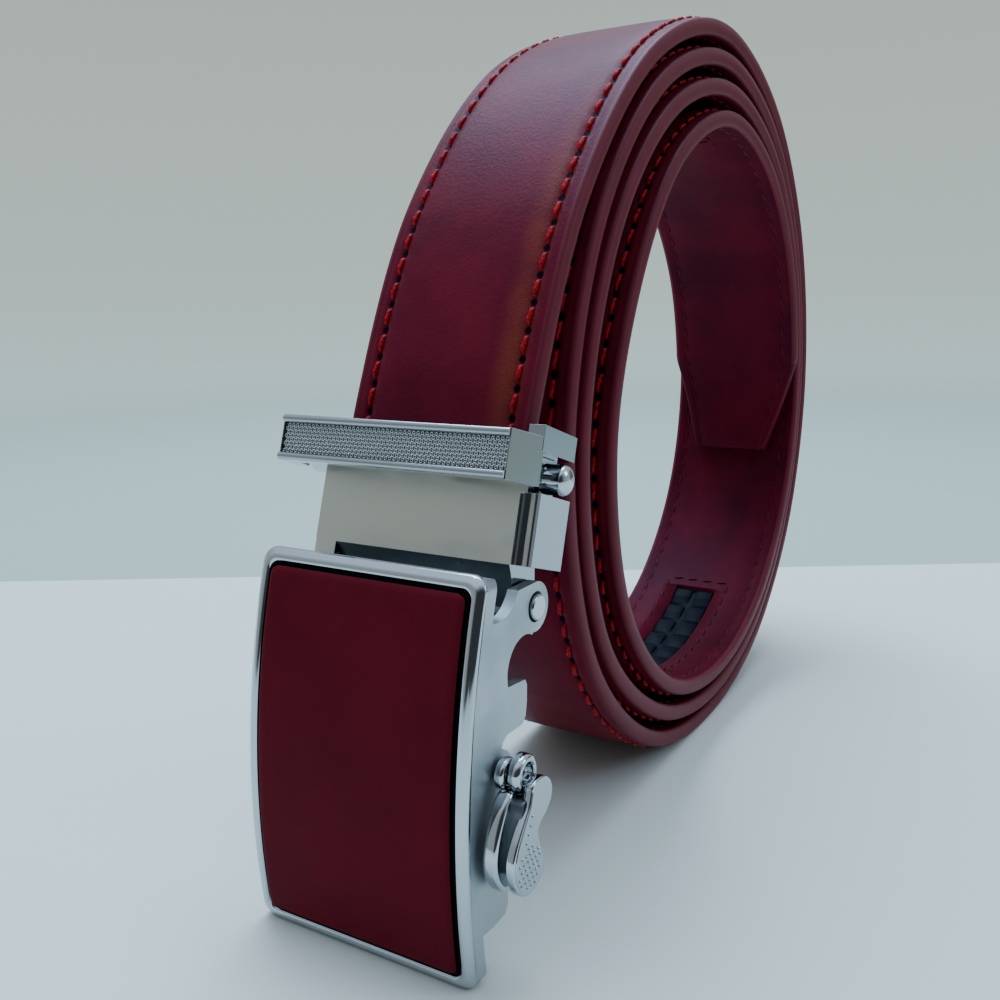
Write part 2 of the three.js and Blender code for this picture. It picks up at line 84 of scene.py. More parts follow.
def linear(hex_colour: str) -> tuple[float, float, float, float]:
    """Turns an sRGB colour into linear light.

    Args:
        hex_colour: the colour as "#rrggbb".

    Returns:
        The linear red, green, blue and an alpha of 1.
    """
    channels = [int(hex_colour[i:i + 2], 16) / 255 for i in (1, 3, 5)]
    light = [c / 12.92 if c <= 0.04045 else ((c + 0.055) / 1.055) ** 2.4 for c in channels]
    return (*light, 1.0)


def new_material(name: str) -> tuple[bpy.types.Material, bpy.types.Node]:
    """Makes an empty node material.

    Args:
        name: the material's name.

    Returns:
        The material and its Principled shader.
    """
    material = bpy.data.materials.new(name)
    material.use_nodes = True
    return material, material.node_tree.nodes["Principled BSDF"]


def add_node(
    tree: bpy.types.NodeTree,
    kind: str,
    settings: dict | None = None,
    values: dict | None = None,
    links: dict | None = None,
) -> bpy.types.Node:
    """Adds a node.

    Args:
        tree: the tree that the node goes into.
        kind: the node's type, without the words ShaderNode.
        settings: properties of the node itself.
        values: constants for its input sockets, by name or number.
        links: output sockets that feed its input sockets, by name or number.

    Returns:
        The new node.
    """
    node = tree.nodes.new("ShaderNode" + kind)
    for name, value in (settings or {}).items():
        setattr(node, name, value)
    for name, value in (values or {}).items():
        node.inputs[name].default_value = value
    for name, socket in (links or {}).items():
        tree.links.new(socket, node.inputs[name])
    return node


def math_node(
    tree: bpy.types.NodeTree, operation: str, first: object, second: object = 0.0
) -> bpy.types.NodeSocket:
    """Works a sum on sockets or numbers.

    Args:
        tree: the tree that the node goes into.
        operation: the name of the sum.
        first: the first socket or number.
        second: the second socket or number.

    Returns:
        The socket that holds the result.
    """
    values, links = {}, {}
    for place, item in enumerate((first, second)):
        (links if isinstance(item, bpy.types.NodeSocket) else values)[place] = item
    return add_node(tree, "Math", {"operation": operation}, values, links).outputs[0]


# Finishes


@dataclass(frozen=True)
class GlazedLeather:
    """Chrome-tanned cowhide with a pigment coat, ironed and glazed: a soft broad sheen over fine pores."""

    name: str
    pigment: str
    shade: str
    roughness: float
    gloss: float
    gloss_tint: str
    grain_mm: float
    grain_depth_mm: float
    wrinkle_depth_mm: float = 0.01
    hole_pitch_mm: float = 0.0
    hole_across_mm: float = 0.0
    rubbed: str = ""
    rub_inset_mm: float = 1.5
    rub_end_mm: float = 110.0
    flat_map: str = "flat"

    def material(self) -> bpy.types.Material:
        """Builds the leather.

        Returns:
            The material, which reads the piece's flat map in millimetres.
        """
        material, shader = new_material(self.name)
        tree = material.node_tree
        if self.flat_map:
            uv = add_node(tree, "UVMap", {"uv_map": self.flat_map}).outputs["UV"]
        else:
            place = add_node(tree, "TexCoord").outputs["Object"]
            uv = add_node(tree, "Mapping", values={"Scale": (1000.0,) * 3}, links={"Vector": place}).outputs[0]
        patches = add_node(
            tree, "TexNoise", values={"Scale": 0.05, "Detail": 4.0, "Roughness": 0.6}, links={"Vector": uv}
        ).outputs["Fac"]
        pores = add_node(
            tree, "TexVoronoi", values={"Scale": 1 / self.grain_mm, "Randomness": 1.0}, links={"Vector": uv}
        ).outputs["Distance"]
        fibres = add_node(
            tree, "TexNoise", values={"Scale": 0.6 / self.grain_mm, "Detail": 3.0}, links={"Vector": uv}
        ).outputs["Fac"]
        wrinkles = add_node(
            tree,
            "TexNoise",
            values={"Scale": 0.45, "Detail": 3.0, "Distortion": 0.6},
            links={"Vector": add_node(
                tree, "Mapping", values={"Scale": (0.35, 1.0, 1.0)}, links={"Vector": uv}
            ).outputs[0]},
        ).outputs["Fac"]
        tint = add_node(
            tree,
            "Mix",
            {"data_type": "RGBA"},
            {"A": linear(self.shade), "B": linear(self.pigment)},
            {"Factor": add_node(
                tree, "MapRange", values={"From Min": 0.35, "From Max": 0.6}, links={"Value": patches}
            ).outputs[0]},
        ).outputs["Result"]
        if self.rubbed:
            tint = self.rub(tree, uv, patches, tint)
        # The needle holes get painted shade: a near-black colour laid where each hole goes dark.
        if self.hole_pitch_mm:
            tint = self.hole_shade(tree, uv, tint)
        tree.links.new(tint, shader.inputs["Base Color"])
        rough = add_node(
            tree,
            "MapRange",
            values={"To Min": self.roughness - 0.05, "To Max": self.roughness + 0.07},
            links={"Value": fibres},
        ).outputs[0]
        tree.links.new(rough, shader.inputs["Roughness"])
        shader.inputs["Specular IOR Level"].default_value = self.gloss
        shader.inputs["Specular Tint"].default_value = linear(self.gloss_tint)
        folds = add_node(
            tree, "Bump", values={"Distance": self.wrinkle_depth_mm * MM}, links={"Height": wrinkles}
        ).outputs[0]
        grain = add_node(
            tree,
            "Bump",
            values={"Distance": self.grain_depth_mm * MM},
            links={"Height": pores, "Normal": folds},
        ).outputs[0]
        tree.links.new(grain, shader.inputs["Normal"])
        return material

    def rub(
        self,
        tree: bpy.types.NodeTree,
        uv: bpy.types.NodeSocket,
        patches: bpy.types.NodeSocket,
        tint: bpy.types.NodeSocket,
    ) -> bpy.types.NodeSocket:
        """Warms the leather in soft patches beside the seam, where handling has rubbed the pigment thin.

        Args:
            tree: the material's tree.
            uv: the flat map.
            patches: a slow noise that breaks the rubbed band up.
            tint: the leather's colour.

        Returns:
            The colour with its rubbed patches.
        """
        parts = add_node(tree, "SeparateXYZ", links={"Vector": uv}).outputs
        aside = math_node(tree, "SUBTRACT", parts["X"], self.hole_across_mm - self.rub_inset_mm)
        specks = add_node(
            tree, "TexNoise", values={"Scale": 4.0, "Detail": 3.0}, links={"Vector": uv}
        ).outputs["Fac"]
        share = 0.85
        for value, start, end, least in (
            (math_node(tree, "ABSOLUTE", aside), 3.4, 0.2, 0.0),
            (parts["Y"], self.rub_end_mm, self.rub_end_mm * 0.4, 0.0),
            (patches, 0.3, 0.56, 0.3),
            (specks, 0.35, 0.65, 0.45),
        ):
            part = add_node(
                tree,
                "MapRange",
                {"interpolation_type": "SMOOTHSTEP"},
                {"From Min": start, "From Max": end, "To Min": least},
                {"Value": value},
            ).outputs[0]
            share = math_node(tree, "MULTIPLY", share, part)
        return add_node(
            tree, "Mix", {"data_type": "RGBA"}, {"B": linear(self.rubbed)}, {"Factor": share, "A": tint}
        ).outputs["Result"]

    def hole_shade(
        self, tree: bpy.types.NodeTree, uv: bpy.types.NodeSocket, tint: bpy.types.NodeSocket
    ) -> bpy.types.NodeSocket:
        """Darkens the leather at the needle holes between two stitches with painted shade, a near-black that stands
        for the dark inside each hole.

        Args:
            tree: the material's tree.
            uv: the flat map.
            tint: the leather's colour.

        Returns:
            The colour with the painted shade of its holes.
        """
        parts = add_node(tree, "SeparateXYZ", links={"Vector": uv}).outputs
        across = math_node(tree, "SUBTRACT", math_node(tree, "ABSOLUTE", parts["X"]), self.hole_across_mm)
        along = math_node(tree, "PINGPONG", parts["Y"], self.hole_pitch_mm / 2)
        reach = math_node(
            tree, "SQRT", math_node(tree, "ADD", math_node(tree, "POWER", math_node(tree, "DIVIDE", across, 0.5), 2.0),
                                    math_node(tree, "POWER", math_node(tree, "DIVIDE", along, 0.62), 2.0))
        )
        hole_shade_share = add_node(
            tree,
            "MapRange",
            values={"From Min": 0.75, "From Max": 1.25, "To Min": 1.0, "To Max": 0.0},
            links={"Value": reach},
        ).outputs[0]
        return add_node(
            tree, "Mix", {"data_type": "RGBA"}, {"B": linear("#120206")}, {"Factor": hole_shade_share, "A": tint}
        ).outputs["Result"]


@dataclass(frozen=True)
class EdgePaint:
    """Acrylic edge paint, sanded and laid on in coats: lighter than the leather and slightly dusty."""

    name: str
    colour: str
    roughness: float
    gloss: float

    def material(self) -> bpy.types.Material:
        """Builds the paint.

        Returns:
            The material, with soft streaks in Object coordinates.
        """
        material, shader = new_material(self.name)
        tree = material.node_tree
        place = add_node(tree, "TexCoord").outputs["Object"]
        streaks = add_node(
            tree, "TexNoise", values={"Scale": 180.0, "Detail": 4.0}, links={"Vector": place}
        ).outputs["Fac"]
        tint = add_node(
            tree, "HueSaturation", values={"Color": linear(self.colour)},
            links={"Value": add_node(
                tree, "MapRange", values={"To Min": 0.8, "To Max": 1.2}, links={"Value": streaks}
            ).outputs[0]},
        ).outputs[0]
        tree.links.new(tint, shader.inputs["Base Color"])
        shader.inputs["Roughness"].default_value = self.roughness
        shader.inputs["Specular IOR Level"].default_value = self.gloss
        bump = add_node(
            tree, "Bump", values={"Distance": 0.03 * MM}, links={"Height": streaks}
        ).outputs[0]
        tree.links.new(bump, shader.inputs["Normal"])
        return material


@dataclass(frozen=True)
class PolyesterThread:
    """Two-ply bonded polyester sewing thread: a saturated red with a slight gloss on each ply."""

    name: str
    colour: str

    def material(self) -> bpy.types.Material:
        """Builds the thread.

        Returns:
            The material, with fine fibres in Object coordinates; their swings in brightness are partly the fibres' own
            tone and partly painted shade for the twisted plies.
        """
        material, shader = new_material(self.name)
        tree = material.node_tree
        place = add_node(tree, "TexCoord").outputs["Object"]
        fibres = add_node(
            tree, "TexNoise", values={"Scale": 2600.0, "Detail": 2.0}, links={"Vector": place}
        ).outputs["Fac"]
        # Brightness swings at random on the scale of a ply: partly the fibres' own tone, partly painted shade for the
        # twist of the plies.
        tint = add_node(
            tree, "HueSaturation", values={"Color": linear(self.colour)},
            links={"Value": add_node(
                tree,
                "MapRange",
                values={"From Min": 0.36, "From Max": 0.62, "To Min": 0.4, "To Max": 1.4},
                links={"Value": fibres},
            ).outputs[0]},
        ).outputs[0]
        tree.links.new(tint, shader.inputs["Base Color"])
        shader.inputs["Roughness"].default_value = 0.5
        shader.inputs["Specular IOR Level"].default_value = 0.12
        bump = add_node(tree, "Bump", values={"Distance": 0.04 * MM}, links={"Height": fibres}).outputs[0]
        tree.links.new(bump, shader.inputs["Normal"])
        return material


@dataclass(frozen=True)
class PlatedMetal:
    """Zinc die casting under a bright or satin nickel-chrome plate: smears and fine scratches break its gloss."""

    name: str
    colour: str
    roughness: float
    scratch_depth_mm: float = 0.002
    brush: tuple[float, float, float] = (1.0, 1.0, 1.0)
    pattern_scale: float = 220.0

    def material(self) -> bpy.types.Material:
        """Builds the plate.

        Returns:
            The material, with its smears in Object coordinates.
        """
        material, shader = new_material(self.name)
        tree = material.node_tree
        place = add_node(tree, "TexCoord").outputs["Object"]
        stretched = add_node(
            tree, "Mapping", values={"Scale": self.brush}, links={"Vector": place}
        ).outputs[0]
        smears = add_node(
            tree, "TexNoise", values={"Scale": self.pattern_scale, "Detail": 5.0}, links={"Vector": stretched}
        ).outputs["Fac"]
        rough = add_node(
            tree,
            "MapRange",
            values={"From Min": 0.3, "From Max": 0.7, "To Min": self.roughness * 0.6, "To Max": self.roughness * 1.5},
            links={"Value": smears},
        ).outputs[0]
        tree.links.new(rough, shader.inputs["Roughness"])
        shader.inputs["Base Color"].default_value = linear(self.colour)
        shader.inputs["Metallic"].default_value = 1.0
        bump = add_node(
            tree, "Bump", values={"Distance": self.scratch_depth_mm * MM}, links={"Height": smears}
        ).outputs[0]
        tree.links.new(bump, shader.inputs["Normal"])
        return material


@dataclass(frozen=True)
class MouldedNylon:
    """Injection-moulded nylon, blue-black, with a faint spark-eroded texture."""

    name: str
    colour: str
    roughness: float

    def material(self) -> bpy.types.Material:
        """Builds the plastic.

        Returns:
            The material, with its mould texture in Object coordinates.
        """
        material, shader = new_material(self.name)
        tree = material.node_tree
        place = add_node(tree, "TexCoord").outputs["Object"]
        sparks = add_node(
            tree, "TexNoise", values={"Scale": 3000.0, "Detail": 2.0}, links={"Vector": place}
        ).outputs["Fac"]
        rough = add_node(
            tree,
            "MapRange",
            values={"To Min": self.roughness - 0.08, "To Max": self.roughness + 0.08},
            links={"Value": sparks},
        ).outputs[0]
        tree.links.new(rough, shader.inputs["Roughness"])
        shader.inputs["Base Color"].default_value = linear(self.colour)
        shader.inputs["Specular IOR Level"].default_value = 0.06
        bump = add_node(tree, "Bump", values={"Distance": 0.01 * MM}, links={"Height": sparks}).outputs[0]
        tree.links.new(bump, shader.inputs["Normal"])
        return material


@dataclass(frozen=True)
class Finishes:
    """Every material of the belt, made once."""

    strap: bpy.types.Material
    edge: bpy.types.Material
    lining: bpy.types.Material
    panel: bpy.types.Material
    core: bpy.types.Material
    thread: bpy.types.Material
    bobbin: bpy.types.Material
    chrome: bpy.types.Material
    nickel: bpy.types.Material
    soft_chrome: bpy.types.Material
    satin: bpy.types.Material
    shaded_plate: bpy.types.Material
    steel: bpy.types.Material
    nylon: bpy.types.Material


def make_finishes(pitch_mm: float, stitch_across_mm: float) -> Finishes:
    """Builds the belt's materials.

    Args:
        pitch_mm: the length of one stitch with its gap.
        stitch_across_mm: how far the stitch rows are from the strap's middle.

    Returns:
        The materials.
    """
    holes = {"hole_pitch_mm": pitch_mm, "hole_across_mm": stitch_across_mm}
    return Finishes(
        strap=GlazedLeather(
            "glazed_cowhide", "#6c1625", "#581020", 0.42, 0.08, "#a89cff", 0.5, 0.024, 0.014, **holes, rubbed="#7e3a26"
        ).material(),
        edge=EdgePaint("acrylic_edge_paint", "#641c2a", 0.45, 0.12).material(),
        lining=GlazedLeather(
            "split_leather_lining", "#5a0c1e", "#430818", 0.5, 0.08, "#c4bcff", 0.7, 0.015
        ).material(),
        panel=GlazedLeather(
            "milled_panel_leather", "#5e0d1d", "#560b1b", 0.6, 0.05, "#ffffff", 0.5, 0.025, 0.012, flat_map=""
        ).material(),
        # Near black: the panel's cut edge, partly its own dark colour and partly painted shade for the gap round the
        # panel.
        core=EdgePaint("dark_cut_edge_and_gap_shade", "#0b0a0b", 0.7, 0.05).material(),
        thread=PolyesterThread("bonded_polyester_thread", "#ab0e1c").material(),
        bobbin=PolyesterThread("bobbin_thread", "#5c0c18").material(),
        chrome=PlatedMetal("chrome_plated_zinc", "#b9c0c4", 0.07).material(),
        nickel=PlatedMetal("bright_nickel_plate", "#9ea4a7", 0.09).material(),
        soft_chrome=PlatedMetal("tumbled_chrome_plate", "#b0b7bb", 0.44, 0.0004, pattern_scale=120.0).material(),
        satin=PlatedMetal("satin_nickel_plate", "#cbc9bd", 0.4, 0.001, (0.3, 1.0, 1.0), 300.0).material(),
        # A darkened copy of the plate: painted shade for the hollow under the clamp and the web between the lever's
        # leaves.
        shaded_plate=PlatedMetal("darkened_plate_shade", "#5c6266", 0.34, 0.001, pattern_scale=200.0).material(),
        steel=PlatedMetal("brushed_steel", "#8d8b84", 0.3, 0.004, (0.1, 1.0, 1.0), 700.0).material(),
        nylon=MouldedNylon("moulded_nylon", "#0d111c", 0.5).material(),
    )


# Mesh helpers


def finish_piece(
    name: str,
    bm: bmesh.types.BMesh,
    materials: Iterable[bpy.types.Material],
    body: Body,
    slot: Slot,
    nodes: Iterable[str] = (),
) -> bpy.types.Object:
    """Turns a bmesh into a piece of the belt.

    Args:
        name: the piece's name.
        bm: its mesh, in metres and in place; it is freed.
        materials: its materials, in the order of its faces' numbers.
        body: the body it rides on.
        slot: the record's finish; not used.
        nodes: the nodes of the frame that it stands for.

    Returns:
        The object.
    """
    mesh = bpy.data.meshes.new(name)
    bm.to_mesh(mesh)
    bm.free()
    for material in materials:
        mesh.materials.append(material)
    mesh.shade_smooth()
    piece = bpy.data.objects.new(name, mesh)
    bpy.context.scene.collection.objects.link(piece)
    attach(piece, body.value)
    if nodes:
        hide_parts(*nodes)
    LOG.info("%s: %d faces on %s", name, len(mesh.polygons), body.value)
    return piece


@dataclass(frozen=True)
class LocalAxes:
    """The leaning axes of a part of the buckle: y to the back and z up, in millimetres."""

    origin_y: float
    origin_z: float
    lean: float

    def place(self, x: float, y: float, z: float) -> Vector:
        """Gives a point of these axes in the row frame, in metres."""
        turn = math.radians(self.lean)
        return Vector((
            x,
            self.origin_y + y * math.cos(turn) + z * math.sin(turn),
            self.origin_z - y * math.sin(turn) + z * math.cos(turn),
        )) * MM

    def local(self, co: Vector) -> Vector:
        """Gives a point of the row frame, in metres, in these axes."""
        turn = math.radians(self.lean)
        back, up = co.y / MM - self.origin_y, co.z / MM - self.origin_z
        return Vector((
            co.x / MM,
            back * math.cos(turn) - up * math.sin(turn),
            back * math.sin(turn) + up * math.cos(turn),
        ))


def mapped_grid(columns: int, rows: int, place: Callable[[int, int], Vector]) -> bmesh.types.BMesh:
    """Makes a grid of faces and lays it where a function says, joining points that meet.

    Args:
        columns: the number of faces across.
        rows: the number of faces along.
        place: gives a vertex's place from its column and row.

    Returns:
        The mesh.
    """
    bm = bmesh.new()
    bmesh.ops.create_grid(bm, x_segments=columns, y_segments=rows, size=1.0)
    for vert in bm.verts:
        vert.co = place(round((vert.co.x + 1) / 2 * columns), round((vert.co.y + 1) / 2 * rows))
    bmesh.ops.remove_doubles(bm, verts=bm.verts, dist=0.001 * MM)
    bmesh.ops.recalc_face_normals(bm, faces=bm.faces)
    return bm


def smooth_loop(points: list[tuple[float, float]], steps: int = 4) -> list[tuple[float, float]]:
    """Rounds a closed outline by a Catmull-Rom curve through its points.

    Args:
        points: the outline's points.
        steps: how many points come of each.

    Returns:
        The rounded outline.
    """
    rounded = []
    for i, here in enumerate(points):
        before, there, after = points[i - 1], points[(i + 1) % len(points)], points[(i + 2) % len(points)]
        for step in range(steps):
            t = step / steps
            rounded.append(tuple(
                b + 0.5 * t * (c - a + t * (2 * a - 5 * b + 4 * c - d + t * (3 * (b - c) + d - a)))
                for a, b, c, d in zip(before, here, there, after)
            ))
    return rounded


def side_plate(
    axes: LocalAxes, outline: list[tuple[float, float]], inner: float, outer: float
) -> bmesh.types.BMesh:
    """Cuts a flat plate from an outline drawn in y and z.

    Args:
        axes: the axes that the outline is drawn in.
        outline: its points.
        inner: the plate's one face across x.
        outer: the plate's other face.

    Returns:
        The mesh.
    """
    bm = bmesh.new()
    face = bm.faces.new([bm.verts.new(axes.place(inner, y, z)) for y, z in outline])
    grown = bmesh.ops.extrude_face_region(bm, geom=[face], use_keep_orig=True)["geom"]
    shift = Vector((outer - inner, 0, 0)) * MM
    bmesh.ops.translate(bm, verts=[v for v in grown if isinstance(v, bmesh.types.BMVert)], vec=shift)
    bmesh.ops.recalc_face_normals(bm, faces=bm.faces)
    return bm


def turned(
    axes: LocalAxes, profile: list[tuple[float, float]], y: float, z: float, segments: int = 48
) -> bmesh.types.BMesh:
    """Turns a profile of radius and x about an axis that runs across x.

    Args:
        axes: the axes that the turning axis is given in.
        profile: pairs of a radius and a place across x.
        y: the turning axis' place to the back.
        z: its height.
        segments: facets in a turn.

    Returns:
        The mesh.
    """
    bm = bmesh.new()
    verts = [bm.verts.new(axes.place(x, y + radius, z)) for radius, x in profile]
    edges = [bm.edges.new(pair) for pair in zip(verts, verts[1:])]
    bmesh.ops.spin(
        bm,
        geom=verts + edges,
        cent=axes.place(0, y, z),
        axis=(1, 0, 0),
        angle=math.tau,
        steps=segments,
        use_merge=True,
        use_duplicate=False,
    )
    bmesh.ops.remove_doubles(bm, verts=bm.verts, dist=0.001 * MM)
    bmesh.ops.recalc_face_normals(bm, faces=bm.faces)
    return bm


def break_edges(piece: bpy.types.Object, width_mm: float, segments: int = 3, angle: float = 30.0) -> None:
    """Rounds the sharp edges of a piece.

    Args:
        piece: the piece.
        width_mm: the rounding's width.
        segments: its facets.
        angle: how sharp an edge is rounded, in degrees.
    """
    bevel = piece.modifiers.new("edges", "BEVEL")
    bevel.width = width_mm * MM
    bevel.segments = segments
    bevel.limit_method = "ANGLE"
    bevel.angle_limit = math.radians(angle)
    flats = piece.modifiers.new("flats", "WEIGHTED_NORMAL")
    flats.weight = 100


def smooth_step(share: float) -> float:
    """Eases from 0 to 1, for a share that may lie outside that range."""
    share = min(max(share, 0.0), 1.0)
    return share * share * (3 - 2 * share)


def dent(distance: float, width: float) -> float:
    """Gives the depth of a soft dent, 1 in its middle, at a distance from it."""
    return math.exp(-((distance / width) ** 2))


def repeat_along(bm: bmesh.types.BMesh, count: int, step: Vector) -> None:
    """Repeats all of a mesh in a straight row by doubling it.

    Args:
        bm: the mesh to repeat, which holds the first copy.
        count: how many copies there are in the end.
        step: the way from one copy to the next.
    """
    per_copy = len(bm.verts)
    made = 1
    while made < count:
        geometry = list(bm.verts) + list(bm.edges) + list(bm.faces)
        added = bmesh.ops.duplicate(bm, geom=geometry)["geom"]
        fresh = [v for v in added if isinstance(v, bmesh.types.BMVert)]
        bmesh.ops.translate(bm, verts=fresh, vec=step * made)
        made *= 2
    bm.verts.ensure_lookup_table()
    surplus = bm.verts[count * per_copy:]
    bmesh.ops.delete(bm, geom=surplus, context="VERTS")


# Strap


@dataclass(frozen=True)
class CoilRow:
    """A row of the coil's table: the first turn's reach and the air gaps outside the others."""

    angle: float
    reach: float
    gap2: float
    gap3: float
    gap4: float


@dataclass
class StrapPath:
    """The middle line of the strap, from the clamp round the coil to the tip, in millimetres."""

    coil_reach: float = 64.3
    floor_press: float = 0.3
    layer_gap: float = 1.0
    thickness: float = 3.0
    side_drift: float = 1.6
    tip_angle: float = -18.0
    clamp_tilt: float = 18.0
    clamp_grip: float = 15.0
    clamp_front: float = 2.3
    hinge_down: float = 23.0
    hinge_inset: float = 3.1
    turns: int = 4
    samples: int = 60
    rows: tuple[CoilRow, ...] = (
        CoilRow(180, 1.229, 7.5, 1.0, 6.0),
        CoilRow(150, 1.135, 2.7, 1.6, 6.9),
        CoilRow(120, 1.107, 1.7, 1.9, 4.4),
        CoilRow(90, 1.104, 2.0, 2.1, 2.1),
        CoilRow(60, 1.073, 2.0, 1.6, 1.4),
        CoilRow(30, 1.040, 2.4, 0.9, 1.0),
        CoilRow(0, 1.022, 2.6, 0.8, 0.8),
        CoilRow(-30, 1.010, 2.2, 0.8, 0.8),
        CoilRow(-60, 1.0, 1.3, 1.0, 1.0),
        CoilRow(-90, 1.0, 0.9, 1.2, 1.0),
        CoilRow(-120, 1.050, 2.0, 2.2, 1.0),
        CoilRow(-150, 1.086, 1.2, 5.2, 1.0),
    )
    places: list[Vector] = field(default_factory=list)
    stations: list[float] = field(default_factory=list)

    def __post_init__(self) -> None:
        """Samples the curve once and measures it."""
        hinge = next(j for j in frame["joints"] if j["name"] == "frame_hinge")["pos_m"]
        tilt = math.radians(self.clamp_tilt)
        self.coil_height = self.coil_reach - self.floor_press
        self.clamp_y = hinge[1] / MM + self.hinge_down * math.sin(tilt) - self.hinge_inset * math.cos(tilt)
        self.clamp_z = hinge[2] / MM + self.hinge_down * math.cos(tilt) + self.hinge_inset * math.sin(tilt)
        self.places = self.sample(self.points())
        self.stations = [0.0]
        for here, there in zip(self.places, self.places[1:]):
            self.stations.append(self.stations[-1] + (there - here).length)
        self.length = self.stations[-1]

    def from_clamp(self, y: float, z: float) -> Vector:
        """Gives the place of a point in the clamp's own axes: y behind the strap's face, z up along it."""
        tilt = math.radians(self.clamp_tilt)
        return Vector((
            self.clamp_y + y * math.cos(tilt) + z * math.sin(tilt),
            self.clamp_z - y * math.sin(tilt) + z * math.cos(tilt),
        ))

    def row_radius(self, turn: int, row: int) -> float:
        """Gives the outer face's distance from the coil's centre."""
        line = self.rows[row]
        gaps = (line.gap2, line.gap3, line.gap4)[:turn]
        return self.coil_reach * line.reach - sum(gap * self.layer_gap + self.thickness for gap in gaps)

    def on_turn(self, turn: int, angle: float) -> Vector:
        """Gives the middle of the strap at an angle of one turn."""
        place = (180 - angle) / (360 / len(self.rows))
        row = min(int(place), len(self.rows) - 1)
        last = row + 1 == len(self.rows)
        here = self.row_radius(turn, row)
        there = self.row_radius(turn + 1, 0) if last else self.row_radius(turn, row + 1)
        radius = here + (there - here) * (place - row) - self.thickness / 2
        turned = math.radians(angle)
        return Vector((radius * math.cos(turned), self.coil_height + radius * math.sin(turned)))

    def points(self) -> list[Vector]:
        """Lists the points that the curve runs through."""
        heights = (-self.clamp_grip, -self.clamp_grip / 2, self.clamp_front)
        points = [self.from_clamp(self.thickness / 2, z) for z in heights]
        for turn in range(self.turns):
            for row in self.rows[1 if turn == 0 else 0:]:
                if turn < self.turns - 1 or row.angle > self.tip_angle:
                    points.append(self.on_turn(turn, row.angle))
        return points + [self.on_turn(self.turns - 1, self.tip_angle)]

    def sample(self, points: list[Vector]) -> list[Vector]:
        """Runs a centripetal Catmull-Rom curve through the points.

        Args:
            points: the points, in order.

        Returns:
            Places close together along the curve.
        """
        ends = [2 * points[0] - points[1], *points, 2 * points[-1] - points[-2]]
        places = []
        for before, start, end, after in zip(ends, ends[1:], ends[2:], ends[3:]):
            knots = [math.sqrt((b - a).length) for a, b in ((before, start), (start, end), (end, after))]
            leave = (start - before) / knots[0] - (end - before) / (knots[0] + knots[1]) + (end - start) / knots[1]
            arrive = (end - start) / knots[1] - (after - start) / (knots[1] + knots[2]) + (after - end) / knots[2]
            leave, arrive = leave * knots[1], arrive * knots[1]
            square = -3 * start + 3 * end - 2 * leave - arrive
            cube = 2 * start - 2 * end + leave + arrive
            for i in range(self.samples):
                t = i / self.samples
                places.append(start + leave * t + square * t ** 2 + cube * t ** 3)
        return places + [points[-1]]

    def at(self, station: float) -> Vector:
        """Gives the place at a length along the strap."""
        station = min(max(station, 0.0), self.length)
        i = min(bisect_right(self.stations, station), len(self.stations) - 1)
        share = (station - self.stations[i - 1]) / (self.stations[i] - self.stations[i - 1])
        return self.places[i - 1].lerp(self.places[i], share)

    def way(self, station: float, reach: float = 4.0) -> Vector:
        """Gives the strap's direction, evened out over a short stretch."""
        return (self.at(station + reach) - self.at(station - reach)).normalized()

    def station_of(self, turn: int, angle: float) -> float:
        """Gives the length along the strap of an angle of one turn."""
        place = self.on_turn(turn, angle)
        i = min(range(len(self.places)), key=lambda k: (self.places[k] - place).length_squared)
        return self.stations[i] + (place - self.places[i]).dot(self.way(self.stations[i], 0.5))

    def roll(self, flat: Vector) -> Vector:
        """Lays a point of the flat strap on the coil.

        Args:
            flat: across, out of the outer face and along the strap, in millimetres.

        Returns:
            The place in the row frame, in metres.
        """
        middle, way = self.at(flat.z), self.way(flat.z)
        drift = self.side_drift * max(0.0, (flat.z - self.clamp_grip) / self.length)
        height = middle.y + way.x * flat.y
        return Vector((flat.x + drift, middle.x - way.y * flat.y, max(height, 0.0))) * MM

    def roll_mesh(self, bm: bmesh.types.BMesh) -> None:
        """Lays a whole flat mesh on the coil and turns its faces outwards."""
        for vert in bm.verts:
            vert.co = self.roll(vert.co)
        bmesh.ops.recalc_face_normals(bm, faces=bm.faces)


